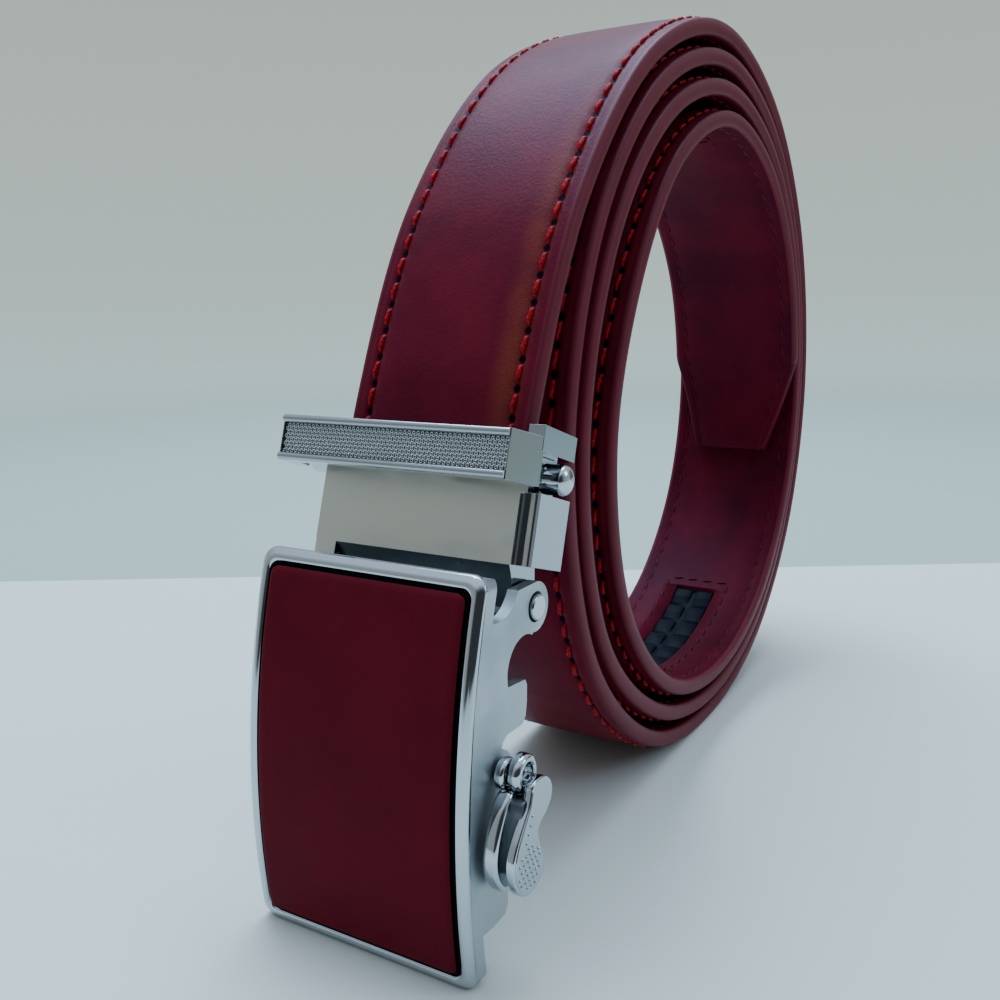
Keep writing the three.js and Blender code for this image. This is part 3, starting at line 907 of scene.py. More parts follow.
@dataclass
class LeatherStrap:
    """The stitched strap: two layers of leather with painted edges, sewn along both sides."""

    path: StrapPath
    width: float = 30.0
    corner: float = 0.85
    edge_bulge: float = 0.12
    tip_length: float = 22.0
    tip_width: float = 17.0
    stitch_inset: float = 3.0
    stitch_pitch: float = 4.1
    stitch_gap: float = 1.5
    thread_radius: float = 0.33
    bobbin_radius: float = 0.22
    crease_inset: float = 1.4
    crease_depth: float = 0.08
    crown: float = 0.66
    crown_reach: float = 9.0
    held_length: float = 14.0
    seam_depth: float = 0.24
    hole_depth: float = 0.5
    rack_turn: int = 2
    rack_start_angle: float = -60.5
    rack_gap: float = 0.3
    rack_teeth: int = 34
    rack_pitch: float = 6.0
    rack_width: float = 9.6
    rack_depth: float = 1.6
    frame_across: float = 7.1
    frame_ahead: float = 2.4
    rings_per_stitch: int = 3
    outer_insets: tuple[float, ...] = (0.85, 1.15, 1.5, 1.85, 2.3, 2.65, 3.0, 3.35, 3.8, 4.6, 6.0, 8.2, 11.2)
    lining_insets: tuple[float, ...] = (0.85, 1.6, 2.3, 2.65, 3.0, 3.35, 3.9, 6.5, 10.19, 10.21, 12.6)

    @property
    def stitch_across(self) -> float:
        """How far a row of stitches is from the strap's middle."""
        return self.width / 2 - self.stitch_inset

    def outer_height(self, inset: float, hole: float, station: float) -> float:
        """Gives the outer face's height over the strap's middle.

        Args:
            inset: distance from the nearer edge.
            hole: 1 at a needle hole, 0 between two holes.
            station: length along the strap, which lies flat inside the clamp.

        Returns:
            The height in millimetres.
        """
        free = 0.2 + 0.8 * smooth_step((station - self.held_length) / 9)
        rise = self.crown * free * (1 - (1 - min(inset / self.crown_reach, 1.0)) ** 2)
        crease = self.crease_depth * dent(inset - self.crease_inset, 0.3)
        seam = (self.seam_depth + self.hole_depth * hole) * dent(inset - self.stitch_inset, 0.55)
        return self.path.thickness / 2 - 0.16 + rise - crease - seam

    def lining_height(self, inset: float, hole: float, station: float) -> float:
        """Gives the inner face's depth under the strap's middle, as outer_height does."""
        seam = (0.15 + 0.12 * hole) * dent(inset - self.stitch_inset, 0.5)
        return -self.path.thickness / 2 + seam * smooth_step(station / self.held_length)

    def section(self) -> list[tuple[float, float, StrapFace]]:
        """Lists the cross-section's points as a signed distance across and a face, once round.

        Returns:
            Triples of the share of the half width, a height for the edge points, and the face.
        """
        half, corner = self.width / 2, self.corner
        flank = self.path.thickness / 2
        arc = [math.radians(a) for a in (22.5, 45, 67.5)]
        edge = [(half + self.edge_bulge, 0.0, StrapFace.EDGE)]
        edge += [
            (half - corner + corner * math.cos(a), flank - corner + corner * math.sin(a), StrapFace.EDGE)
            for a in arc
        ]
        outer = [(half - inset, 0.0, StrapFace.OUTER) for inset in self.outer_insets]
        lining = [(half - inset, 0.0, StrapFace.LINING) for inset in self.lining_insets]
        under = [(x, -y, face) for x, y, face in reversed(edge[1:])]
        right = edge + outer
        left = [(-x, y, face) for x, y, face in reversed(outer)] + [(-x, y, face) for x, y, face in reversed(edge)]
        below = [(-x, y, face) for x, y, face in reversed(under)]
        floor = [(-x, y, face) for x, y, face in lining] + [(0.0, 0.0, StrapFace.LINING)]
        floor += [(x, y, face) for x, y, face in reversed(lining)]
        return right + [(0.0, 0.0, StrapFace.OUTER)] + left + below + floor + under

    def rack_span(self) -> tuple[float, float]:
        """Gives the two ends of the rack's window along the strap."""
        start = self.path.station_of(self.rack_turn, self.rack_start_angle) - self.rack_gap
        return start, start + self.rack_teeth * self.rack_pitch + 2 * self.rack_gap

    def build(self, finishes: Finishes) -> bpy.types.Object:
        """Builds the strap as a flat tube of leather and lays it on the coil.

        Args:
            finishes: the belt's materials.

        Returns:
            The strap.
        """
        start, end = self.rack_span()
        step = self.stitch_pitch / self.rings_per_stitch
        stations = [i * step for i in range(int(self.path.length / step) + 1)]
        for mark in (start, end):
            stations += [mark - 0.02, mark + 0.02]
        stations = sorted(s for s in stations if s < self.path.length - 0.4 * step) + [self.path.length]
        section = self.section()
        columns, rings = len(section), len(stations) - 1
        bm = bmesh.new()
        uv = bm.loops.layers.uv.new("flat")
        bmesh.ops.create_grid(bm, x_segments=columns, y_segments=rings, size=1.0)
        grid = {v: (round((v.co.x + 1) / 2 * columns) % columns, round((v.co.y + 1) / 2 * rings)) for v in bm.verts}
        faces = {}
        for face in bm.faces:
            cells = [grid[v][0] for v in face.verts]
            column = max(cells) if columns - 1 in cells and 0 in cells else min(cells)
            faces[face] = column
            kinds = {section[column][2], section[(column + 1) % columns][2]}
            kind = StrapFace.EDGE if StrapFace.EDGE in kinds else kinds.pop()
            face.material_index = kind.value
        for vert, (column, ring) in grid.items():
            vert.co = self.flat_point(section[column], stations[ring], start, end)
        for face in bm.faces:
            # Along the tip the edge faces take the darker lining leather: painted shade on the tip's edges.
            at_tip = face.calc_center_median().z > self.path.length - self.tip_length
            if at_tip and face.material_index == StrapFace.EDGE.value:
                face.material_index = StrapFace.LINING.value
            for loop in face.loops:
                co = loop.vert.co
                loop[uv].uv = (co.x + co.y, co.z) if face.material_index == 1 else (co.x, co.z)
        bmesh.ops.remove_doubles(bm, verts=bm.verts, dist=0.002)
        bmesh.ops.holes_fill(bm, edges=[e for e in bm.edges if e.is_boundary], sides=0)
        self.path.roll_mesh(bm)
        materials = (finishes.strap, finishes.edge, finishes.lining)
        return finish_piece("leather_strap", bm, materials, Body.BELT, Slot.STRAP, ["strap"])

    def flat_point(
        self, point: tuple[float, float, StrapFace], station: float, start: float, end: float
    ) -> Vector:
        """Places one point of the cross-section on the flat strap.

        Args:
            point: the point, as section() lists it.
            station: its length along the strap.
            start: where the rack's window begins.
            end: where the window ends.

        Returns:
            Across, out and along, in millimetres.
        """
        across, height, face = point
        inset = self.width / 2 - abs(across)
        phase = (station / self.stitch_pitch) % 1.0
        hole = dent(min(phase, 1 - phase) * self.stitch_pitch, 0.7)
        if face is StrapFace.OUTER:
            height = self.outer_height(inset, hole, station)
        if face is StrapFace.LINING:
            height = self.lining_height(inset, hole, station)
            if abs(across) < self.rack_width / 2 and start < station < end:
                height += self.rack_depth
        return Vector((across * self.taper(station), height, station))

    def taper(self, station: float) -> float:
        """Gives the share of the full width at a length along the strap."""
        share = max(0.0, (station - self.path.length + self.tip_length) / self.tip_length)
        return 1 - share * (1 - self.tip_width / self.width)

    def stitch(self, radius: float, lift: float) -> bmesh.types.BMesh:
        """Makes one stitch of two-ply thread, whose ends dive into the leather.

        Args:
            radius: the thread's radius.
            lift: height of its middle over the seam.

        Returns:
            The stitch, lying along z.
        """
        bm = bmesh.new()
        bmesh.ops.create_uvsphere(bm, u_segments=8, v_segments=9, radius=1.0)
        half_length = (self.stitch_pitch - self.stitch_gap) / 2 + 0.15
        for vert in bm.verts:
            along = vert.co.z
            turn = math.atan2(vert.co.y, vert.co.x)
            ply = radius * math.sqrt(max(0.0, 1 - along ** 6)) * (1 + 0.36 * math.cos(2 * (turn - along * 3.4)))
            vert.co = Vector((
                ply * math.cos(turn) + 0.16 * along,
                0.85 * ply * math.sin(turn) + lift - 0.6 * along ** 4,
                half_length * along + self.stitch_pitch / 2,
            ))
        return bm

    def stitches(self, finishes: Finishes, face: StrapFace) -> bpy.types.Object:
        """Sews both rows of one face.

        Args:
            finishes: the belt's materials.
            face: the outer face or the lining.

        Returns:
            The thread of both rows.
        """
        outer = face is StrapFace.OUTER
        bm = self.stitch(self.thread_radius if outer else self.bobbin_radius, 0.24 if outer else 0.08)
        repeat_along(bm, int(self.path.length / self.stitch_pitch) - 1, Vector((0, 0, self.stitch_pitch)))
        if not outer:
            bmesh.ops.scale(bm, vec=(1, -1, 1), verts=bm.verts)
        bmesh.ops.translate(bm, verts=bm.verts, vec=(self.stitch_across, 0, 0))
        twin = bmesh.ops.duplicate(bm, geom=list(bm.verts) + list(bm.edges) + list(bm.faces))["geom"]
        bmesh.ops.translate(
            bm, verts=[v for v in twin if isinstance(v, bmesh.types.BMVert)], vec=(-2 * self.stitch_across, 0, 0)
        )
        level = self.outer_height if outer else self.lining_height
        for vert in bm.verts:
            vert.co.y += level(self.stitch_inset, 0.0, vert.co.z)
            vert.co.x *= self.taper(vert.co.z)
        self.path.roll_mesh(bm)
        name = "outer_stitches" if outer else "lining_stitches"
        thread = finishes.thread if outer else finishes.bobbin
        return finish_piece(name, bm, (thread,), Body.BELT, Slot.STRAP)

    def window_stitches(self, thread: bpy.types.Material) -> bpy.types.Object:
        """Sews a frame of small stitches round the rack's window.

        Args:
            thread: the thread.

        Returns:
            The frame of stitches.
        """
        start, end = self.rack_span()
        low, high = start - self.frame_ahead, end + self.frame_ahead
        bm = self.stitch(self.bobbin_radius, 0.12)
        count = round((high - low) / self.stitch_pitch)
        repeat_along(bm, count, Vector((0, 0, (high - low) / count)))
        bmesh.ops.translate(bm, verts=bm.verts, vec=(self.frame_across, 0, low))
        twin = bmesh.ops.duplicate(bm, geom=list(bm.verts) + list(bm.edges) + list(bm.faces))["geom"]
        bmesh.ops.translate(
            bm, verts=[v for v in twin if isinstance(v, bmesh.types.BMVert)], vec=(-2 * self.frame_across, 0, 0)
        )
        side = self.stitch(self.bobbin_radius, 0.12)
        across = 4
        repeat_along(side, across, Vector((0, 0, 2 * self.frame_across / across)))
        bmesh.ops.translate(side, verts=side.verts, vec=(0, 0, -self.frame_across))
        bmesh.ops.rotate(side, verts=side.verts, matrix=Matrix.Rotation(math.radians(90), 3, "Y"))
        scratch = bpy.data.meshes.new("window_row")
        for shift in (low, high - low):
            bmesh.ops.translate(side, verts=side.verts, vec=(0, 0, shift))
            side.to_mesh(scratch)
            bm.from_mesh(scratch)
        side.free()
        bpy.data.meshes.remove(scratch)
        bmesh.ops.scale(bm, vec=(1, -1, 1), verts=bm.verts)
        bmesh.ops.translate(bm, verts=bm.verts, vec=(0, -self.path.thickness / 2, 0))
        self.path.roll_mesh(bm)
        return finish_piece("window_stitches", bm, (thread,), Body.BELT, Slot.STRAP)

    def rack(self, nylon: bpy.types.Material) -> bpy.types.Object:
        """Moulds the toothed rack: two rows of rounded saw teeth on a thin strip.

        Args:
            nylon: the finish.

        Returns:
            The rack.
        """
        start = self.rack_span()[0] + self.rack_gap
        length = self.rack_teeth * self.rack_pitch
        floor = -self.path.thickness / 2 + self.rack_depth - self.rack_gap
        root, tip = floor - 0.5, -self.path.thickness / 2 + 0.25
        outside, groove = self.rack_width / 2 - self.rack_gap, 0.5
        bm = bmesh.new()
        bmesh.ops.create_cube(bm, size=1.0)
        for vert in bm.verts:
            high = vert.co.y < 0
            shares = (0.1, 0.5) if high else (0.03, 0.92)
            draft = 0.14 if high else 0.0
            vert.co = Vector((
                groove + draft if vert.co.x < 0 else outside - draft,
                tip if high else root + 0.2,
                self.rack_pitch * shares[vert.co.z > 0],
            ))
        bmesh.ops.bevel(
            bm, geom=list(bm.edges), affect="EDGES", offset=0.13, segments=2, profile=0.5, material=-1
        )
        repeat_along(bm, self.rack_teeth, Vector((0, 0, self.rack_pitch)))
        twin = bmesh.ops.duplicate(bm, geom=list(bm.verts) + list(bm.edges) + list(bm.faces))["geom"]
        bmesh.ops.translate(
            bm, verts=[v for v in twin if isinstance(v, bmesh.types.BMVert)], vec=(-outside - groove, 0, 0)
        )
        strip = bmesh.ops.create_cube(bm, size=1.0)["verts"]
        bmesh.ops.scale(bm, vec=(2 * outside, floor - root, length), verts=strip)
        bmesh.ops.translate(bm, verts=strip, vec=(0, (floor + root) / 2, length / 2))
        edges = {e for v in strip for e in v.link_edges}
        long_edges = [e for e in edges if abs(e.verts[0].co.z - e.verts[1].co.z) > length / 2]
        bmesh.ops.subdivide_edges(bm, edges=long_edges, cuts=150)
        bmesh.ops.translate(bm, verts=bm.verts, vec=(0, 0, start))
        self.path.roll_mesh(bm)
        return finish_piece("toothed_rack", bm, (nylon,), Body.BELT, Slot.RACK, ["ratchet_rack"])


# Buckle


@dataclass
class Casting:
    """A cast or turned metal piece that keeps the solid of its node, with its edges broken."""

    node: str
    body: Body
    slot: Slot
    edge_mm: float = 0.25
    segments: int = 3
    sharp_angle: float = 30.0

    def shape(self) -> bmesh.types.BMesh:
        """Copies the node's solid and joins its flat faces.

        Returns:
            The copy.
        """
        bm = bmesh.new()
        bm.from_mesh(frame["nodes"][self.node].data)
        bmesh.ops.remove_doubles(bm, verts=bm.verts, dist=0.002 * MM)
        bmesh.ops.dissolve_limit(bm, angle_limit=math.radians(0.4), verts=bm.verts, edges=bm.edges)
        return bm

    def build(self, *materials: bpy.types.Material) -> bpy.types.Object:
        """Builds the piece and rounds its edges.

        Args:
            materials: its finishes.

        Returns:
            The piece.
        """
        piece = finish_piece(self.node + "_casting", self.shape(), materials, self.body, self.slot, [self.node])
        break_edges(piece, self.edge_mm, self.segments, self.sharp_angle)
        return piece


@dataclass
class Plate:
    """The bowed front plate: a rounded moulding round it, and the leather panel let into it."""

    axes: LocalAxes
    width: float = 36.0
    length: float = 54.0
    bow: float = 3.2
    corner: float = 2.2
    rim: float = 2.0
    recess: float = 1.3
    panel_gap: float = 0.3
    panel_proud: float = 0.6
    panel_round: float = 0.7
    rim_cut: float = 0.8
    corner_steps: int = 8
    side_steps: int = 40
    end_steps: int = 10
    moulding: tuple[tuple[float, float], ...] = (
        (0.0, -1.0), (0.0, -0.62), (0.03, -0.5), (0.12, -0.38), (0.3, -0.22), (0.46, -0.1), (0.54, -0.05),
        (0.6, 0.0), (0.72, 0.09), (0.9, 0.16), (1.12, 0.19), (1.35, 0.17), (1.56, 0.1), (1.72, -0.02),
        (1.82, -0.18), (1.86, -0.4), (1.86, -1.28),
    )

    def front(self, rise: float, z: float) -> float:
        """Gives how far back a layer of the bowed plate is, rise millimetres in front of the plate's face."""
        radius = (self.length ** 2 / 4 + self.bow ** 2) / (2 * self.bow)
        return radius - self.bow - math.sqrt((radius + rise) ** 2 - (z - self.length / 2) ** 2)

    def outline(self, inset: float) -> list[tuple[float, float]]:
        """Lists the plate's outline in x and z, moved inwards by an inset, once round."""
        half, low, high = self.width / 2 - inset, inset, self.length - inset
        corner = max(self.corner - inset / 2, 0.4)
        middles = (
            (half - corner, low + corner, -90), (half - corner, high - corner, 0),
            (corner - half, high - corner, 90), (corner - half, low + corner, 180),
        )
        arcs = []
        for x, z, start in middles:
            turns = [math.radians(start + 90 * i / self.corner_steps) for i in range(self.corner_steps + 1)]
            arcs.append([(x + corner * math.cos(t), z + corner * math.sin(t)) for t in turns])
        points = []
        for i, arc in enumerate(arcs):
            points += arc
            steps = self.end_steps if i % 2 else self.side_steps
            (x0, z0), (x1, z1) = arc[-1], arcs[(i + 1) % 4][0]
            points += [(x0 + (x1 - x0) * k / steps, z0 + (z1 - z0) * k / steps) for k in range(1, steps)]
        return points

    def build_moulding(self, chrome: bpy.types.Material) -> bpy.types.Object:
        """Runs the rim's profile once round the plate.

        Args:
            chrome: the finish.

        Returns:
            The moulding.
        """
        return finish_piece(
            "plate_moulding", self.run_round(self.moulding), (chrome,), Body.FRAME, Slot.CHROME
        )

    def build_gap_shade(self, core: bpy.types.Material) -> bpy.types.Object:
        """Lays a black strip in the gap between the rim and the panel: painted shade, where the gap would only be
        dark.
        """
        gap_shade_profile = ((1.84, -1.25), (1.84, -0.34), (1.92, -0.26), (2.24, -0.26), (2.36, -0.36), (2.36, -1.25))
        return finish_piece("panel_gap_shade", self.run_round(gap_shade_profile), (core,), Body.FRAME, Slot.PANEL)

    def run_round(self, profile: tuple[tuple[float, float], ...]) -> bmesh.types.BMesh:
        """Runs a profile once round the plate.

        Args:
            profile: pairs of an inset from the outline and a rise over the plate's face.

        Returns:
            The mesh.
        """
        rings = [self.outline(inset) for inset, _ in profile]
        count = len(rings[0])

        def place(column: int, row: int) -> Vector:
            """Gives a point of the profile."""
            x, z = rings[row][column % count]
            return self.axes.place(x, self.front(profile[row][1], z), z)

        return mapped_grid(count, len(profile) - 1, place)

    def build_casting(self, chrome: bpy.types.Material) -> bpy.types.Object:
        """Builds plate and side walls, with the rim's front cut back to make room for the moulding.

        Args:
            chrome: the finish.

        Returns:
            The casting.
        """
        casting = Casting("buckle_frame", Body.FRAME, Slot.CHROME, 0.3)
        bm = casting.shape()
        for vert in bm.verts:
            x, y, z = self.axes.local(vert.co)
            if abs(y - self.front(0.0, z)) < 0.12:
                vert.co = self.axes.place(x, self.front(-self.rim_cut, z), z)
        piece = finish_piece("buckle_frame_casting", bm, (chrome,), Body.FRAME, Slot.CHROME, ["buckle_frame"])
        break_edges(piece, casting.edge_mm)
        return piece

    def build_panel(self, leather: bpy.types.Material, core: bpy.types.Material) -> bpy.types.Object:
        """Builds the leather panel: a thin skin rolled over a near-black cut edge, dark partly in its own colour and
        partly as painted shade from the gap round the panel.

        Args:
            leather: the skin.
            core: the cut edge's near-black finish, partly its own colour and partly painted shade.

        Returns:
            The panel.
        """
        inset = self.rim + self.panel_gap
        half, low, high = self.width / 2 - inset, inset, self.length - inset
        corner = 1.1
        fine = [0.0, 0.008, 0.02, 0.04, 0.07, 0.12]
        shares = fine + [0.12 + 0.76 * i / 34 for i in range(1, 34)] + [1 - f for f in reversed(fine)]

        def half_at(z: float) -> float:
            """Gives the panel's half width at a height."""
            end = min(z - low, high - z)
            return half if end >= corner else half - corner + math.sqrt(max(0.0, corner ** 2 - (corner - end) ** 2))

        def place(column: int, row: int) -> Vector:
            """Gives a point of the panel's skin."""
            z = low + (high - low) * shares[row]
            x = (2 * shares[column] - 1) * half_at(z)
            side = min(half_at(z) - abs(x), z - low, high - z)
            lift = math.sqrt(max(0.0, 1 - (1 - min(side / self.panel_round, 1.0)) ** 2))
            rise = self.panel_proud * (0.35 + 0.65 * lift)
            return self.axes.place(x, self.front(rise, z), z)

        steps = len(shares) - 1
        bm = mapped_grid(steps, steps, place)
        rim = [e for e in bm.edges if e.is_boundary]
        grown = bmesh.ops.extrude_edge_only(bm, edges=rim)["geom"]
        for vert in grown:
            if isinstance(vert, bmesh.types.BMVert):
                x, _, z = self.axes.local(vert.co)
                vert.co = self.axes.place(x, self.front(-self.recess + 0.05, z), z)
        # The panel's sides take the near-black finish: the cut edge's own dark colour plus painted shade from the gap.
        for face in grown:
            if isinstance(face, bmesh.types.BMFace):
                face.material_index = 1
        bmesh.ops.recalc_face_normals(bm, faces=bm.faces)
        for edge in rim:
            edge.smooth = False
        return finish_piece(
            "buckle_panel", bm, (leather, core), Body.FRAME, Slot.PANEL, ["buckle_insert"]
        )


@dataclass
class Keeper:
    """The keeper bar: rounded rims above and below a panel of tiny rings."""

    axes: LocalAxes
    face_width: float = 36.6
    height: float = 6.4
    reach: float = 10.3
    drop: float = 1.5
    rim: float = 1.1
    rim_round: float = 0.5
    panel_depth: float = 0.4
    cap: float = 0.12
    ring_rows: int = 8
    ring_columns: int = 51
    ring_radius: float = 0.22
    wire_radius: float = 0.1

    def build(
        self, nickel: bpy.types.Material, chrome: bpy.types.Material, floor: bpy.types.Material
    ) -> None:
        """Builds the bar, its rims and the rings.

        Args:
            nickel: the finish of bar and rims.
            chrome: the finish of the rings.
            floor: the finish of the panel behind the rings.
        """
        casting = Casting("keeper_bar", Body.BELT, Slot.CHROME, 0.32)
        bm = casting.shape()
        edge = self.face_width / 2
        for vert in bm.verts:
            x, y, z = self.axes.local(vert.co)
            if abs(y + self.reach) < self.panel_depth + 0.1 and edge - 1.2 < abs(x) < edge - 0.4:
                vert.co = self.axes.place(math.copysign(edge - self.cap, x), y, z)
        for face in bm.faces:
            middle = self.axes.local(face.calc_center_median())
            if abs(middle.y + self.reach - self.panel_depth) < 0.05:
                face.material_index = 1
        piece = finish_piece("keeper_casting", bm, (nickel, floor), Body.BELT, Slot.CHROME, ["keeper_bar"])
        break_edges(piece, casting.edge_mm)
        self.build_rims(nickel)
        self.build_rings(chrome)

    def build_rims(self, chrome: bpy.types.Material) -> None:
        """Builds the two half-round rims of the panel."""
        top = -self.drop
        profile = [(math.cos(math.radians(a)), math.sin(math.radians(a))) for a in (*range(0, 181, 15), 0)]
        for name, middle in (("upper", top - self.rim / 2), ("lower", top - self.height + self.rim / 2)):
            half = self.face_width / 2 - 0.1

            def place(column: int, row: int) -> Vector:
                """Gives a point of the rim."""
                across, out = profile[row]
                return self.axes.place(
                    half * (column - 1), -self.reach - self.rim_round * out, middle + across * self.rim / 2
                )

            bm = mapped_grid(2, len(profile) - 1, place)
            bmesh.ops.holes_fill(bm, edges=[e for e in bm.edges if e.is_boundary], sides=0)
            bmesh.ops.recalc_face_normals(bm, faces=bm.faces)
            for rim_edge in bm.edges:
                rim_edge.smooth = rim_edge.calc_face_angle(0.0) < math.radians(40)
            finish_piece(f"keeper_rim_{name}", bm, (chrome,), Body.BELT, Slot.CHROME)

    def build_rings(self, chrome: bpy.types.Material) -> None:
        """Casts the rings of the panel, row by row."""
        wide = self.face_width - 2 * self.cap - 0.1
        high = self.height - 2 * self.rim
        step_x, step_z = wide / (self.ring_columns + 0.5), high / self.ring_rows
        bm = bmesh.new()
        corners = [(self.wire_radius * math.cos(a), self.wire_radius * math.sin(a))
                   for a in (math.radians(b) for b in (0, 60, 120, 180, 240, 300))]
        verts = [bm.verts.new((self.ring_radius + u, v, 0)) for u, v in corners]
        edges = [bm.edges.new((a, b)) for a, b in zip(verts, verts[1:] + verts[:1])]
        bmesh.ops.spin(
            bm, geom=verts + edges, cent=(0, 0, 0), axis=(0, 1, 0), angle=math.tau, steps=10,
            use_merge=True, use_duplicate=False,
        )
        first = Vector((-wide / 2 + step_x / 2, 0, -self.drop - self.height + self.rim + step_z / 2))
        bmesh.ops.translate(bm, verts=bm.verts, vec=first)
        repeat_along(bm, self.ring_columns, Vector((step_x, 0, 0)))
        repeat_along(bm, 2, Vector((step_x / 2, 0, step_z)))
        repeat_along(bm, self.ring_rows // 2, Vector((0, 0, 2 * step_z)))
        depth = self.reach - self.panel_depth + self.wire_radius * 0.6
        for vert in bm.verts:
            vert.co = self.axes.place(vert.co.x, vert.co.y - depth, vert.co.z)
        bmesh.ops.recalc_face_normals(bm, faces=bm.faces)
        finish_piece("keeper_rings", bm, (chrome,), Body.BELT, Slot.CHROME)


@dataclass
class Clamp:
    """The clamp on the strap's fixed end: a chromed casting with a matt front face."""

    axes: LocalAxes
    front: float = 2.3
    length: float = 18.0
    face_half: float = 17.0

    def build(
        self, chrome: bpy.types.Material, satin: bpy.types.Material, shaded_plate: bpy.types.Material
    ) -> None:
        """Builds the clamp.

        Args:
            chrome: the finish of the sides and the rail.
            satin: the finish of the front face.
            shaded_plate: the finish of the hollow under it, a darkened plate that is painted shade.
        """
        casting = Casting("clamp_body", Body.BELT, Slot.CHROME, 0.28)
        bm = casting.shape()
        for face in bm.faces:
            middle = self.axes.local(face.calc_center_median())
            if abs(middle.y + self.front) < 0.05:
                face.material_index = 1
            # Faces below the front face take the darkened plate: painted shade in the hollow.
            elif middle.z < -self.length and middle.y < 0 and abs(middle.x) < self.face_half:
                face.material_index = 2
        piece = finish_piece("clamp_casting", bm, (chrome, satin, shaded_plate), Body.BELT, Slot.CHROME, ["clamp_body"])
        break_edges(piece, casting.edge_mm)


@dataclass
class Lever:
    """The release lever: two pear-shaped leaves, a curled hub and a dotted grip."""

    axes: LocalAxes
    hub_y: float = 5.0
    hub_z: float = 28.2
    inner_face: float = 18.8
    outer_face: float = 23.3
    leaf: float = 1.3
    thick_leaf: float = 2.2
    outer_leaf: tuple[tuple[float, float], ...] = (
        (4.1, 27.6), (5.5, 28.1), (7.2, 27.95), (8.7, 27.0), (9.35, 25.5), (8.9, 24.0), (7.7, 22.8), (6.3, 21.9),
        (5.75, 20.7), (6.5, 19.0), (7.4, 17.5), (7.75, 16.2), (7.3, 14.9), (6.2, 13.9), (4.7, 13.3), (2.9, 13.5),
        (1.3, 14.5), (0.1, 16.4), (-0.35, 18.5), (0.2, 20.6), (1.2, 22.3), (2.3, 23.9), (3.2, 25.2), (3.8, 26.5),
    )
    inner_leaf: tuple[tuple[float, float], ...] = (
        (3.0, 26.6), (4.8, 26.2), (6.4, 26.4), (7.2, 24.6), (6.6, 22.6), (6.0, 20.8), (6.7, 19.0), (7.3, 17.2),
        (7.2, 15.4), (6.2, 14.0), (4.6, 13.2), (2.8, 13.3), (1.1, 14.4), (-0.2, 16.3), (-0.75, 18.6),
        (-0.4, 21.0), (0.3, 23.2), (1.4, 25.2),
    )
    grip: tuple[tuple[float, float], ...] = (
        (3.9, 26.9), (4.5, 25.6), (4.9, 24.0), (5.2, 22.4), (5.5, 20.7), (6.3, 19.0), (7.1, 17.4), (7.4, 16.2),
        (7.0, 15.0), (6.0, 14.15), (4.65, 13.65), (3.0, 13.85), (1.55, 14.8), (0.45, 16.5), (0.0, 18.5),
        (0.5, 20.5), (1.5, 22.2), (2.6, 23.9), (3.4, 25.3),
    )

    def build(self, chrome: bpy.types.Material, web_shade: bpy.types.Material) -> None:
        """Builds the lever.

        Args:
            chrome: the finish of the leaves.
            web_shade: the finish of the web between them, a darkened plate that is painted shade.
        """
        self.plate("lever_outer_leaf", self.outer_leaf, self.outer_face - self.leaf, self.outer_face, 0.3, chrome,
                   ["release_lever"])
        self.plate(
            "lever_inner_leaf", self.inner_leaf, self.inner_face, self.inner_face + self.thick_leaf, 0.7, chrome
        )
        self.plate("lever_grip", self.grip, self.outer_face - 0.1, self.outer_face + 0.14, 0.1, chrome)
        # The web between the leaves takes the darkened plate: painted shade between them.
        web = [(2.6, 25.6), (6.2, 25.2), (6.2, 22.2), (5.0, 20.0), (5.4, 17.2), (4.2, 15.2), (2.6, 16.2),
               (1.9, 19.0), (2.2, 22.4)]
        self.plate("lever_web", web, self.inner_face + 0.6, self.outer_face - 0.6, 0.2, web_shade)
        self.build_hub(chrome)
        self.build_dots(chrome)

    def plate(
        self,
        name: str,
        outline: Iterable[tuple[float, float]],
        inner: float,
        outer: float,
        edge_mm: float,
        chrome: bpy.types.Material,
        nodes: Iterable[str] = (),
    ) -> None:
        """Builds one leaf from its outline.

        Args:
            name: the piece's name.
            outline: points in y and z.
            inner: its face towards the frame, across x.
            outer: its outer face.
            edge_mm: width of its broken edges.
            chrome: the finish.
            nodes: nodes of the frame that it stands for.
        """
        bm = side_plate(self.axes, smooth_loop(list(outline)), inner, outer)
        for edge in bm.edges:
            edge.smooth = edge.calc_face_angle(0.0) < math.radians(40)
        piece = finish_piece(name, bm, (chrome,), Body.RELEASE, Slot.CHROME, nodes)
        break_edges(piece, edge_mm, 4, 50)

    def build_hub(self, chrome: bpy.types.Material) -> None:
        """Turns the two curls round the shaft."""
        inner = [(0.0, 18.6), (1.2, 18.6), (1.25, 19.4), (1.35, 19.6), (1.6, 19.72), (1.95, 19.6), (2.1, 19.3),
                 (2.1, 18.5), (1.9, 18.4), (0.0, 18.4)]
        outer = [(0.0, 19.3), (1.3, 19.3), (1.35, 21.2), (1.5, 21.6), (1.85, 21.8), (2.3, 21.65), (2.55, 21.3),
                 (2.6, 20.8), (2.6, 20.2), (2.4, 20.0), (0.0, 20.0)]
        for name, profile, y, z in (
            ("lever_inner_curl", inner, self.hub_y - 0.5, self.hub_z), ("lever_outer_curl", outer, self.hub_y + 0.5, self.hub_z + 0.1)
        ):
            bm = turned(self.axes, profile, y, z)
            finish_piece(name, bm, (chrome,), Body.RELEASE, Slot.CHROME)

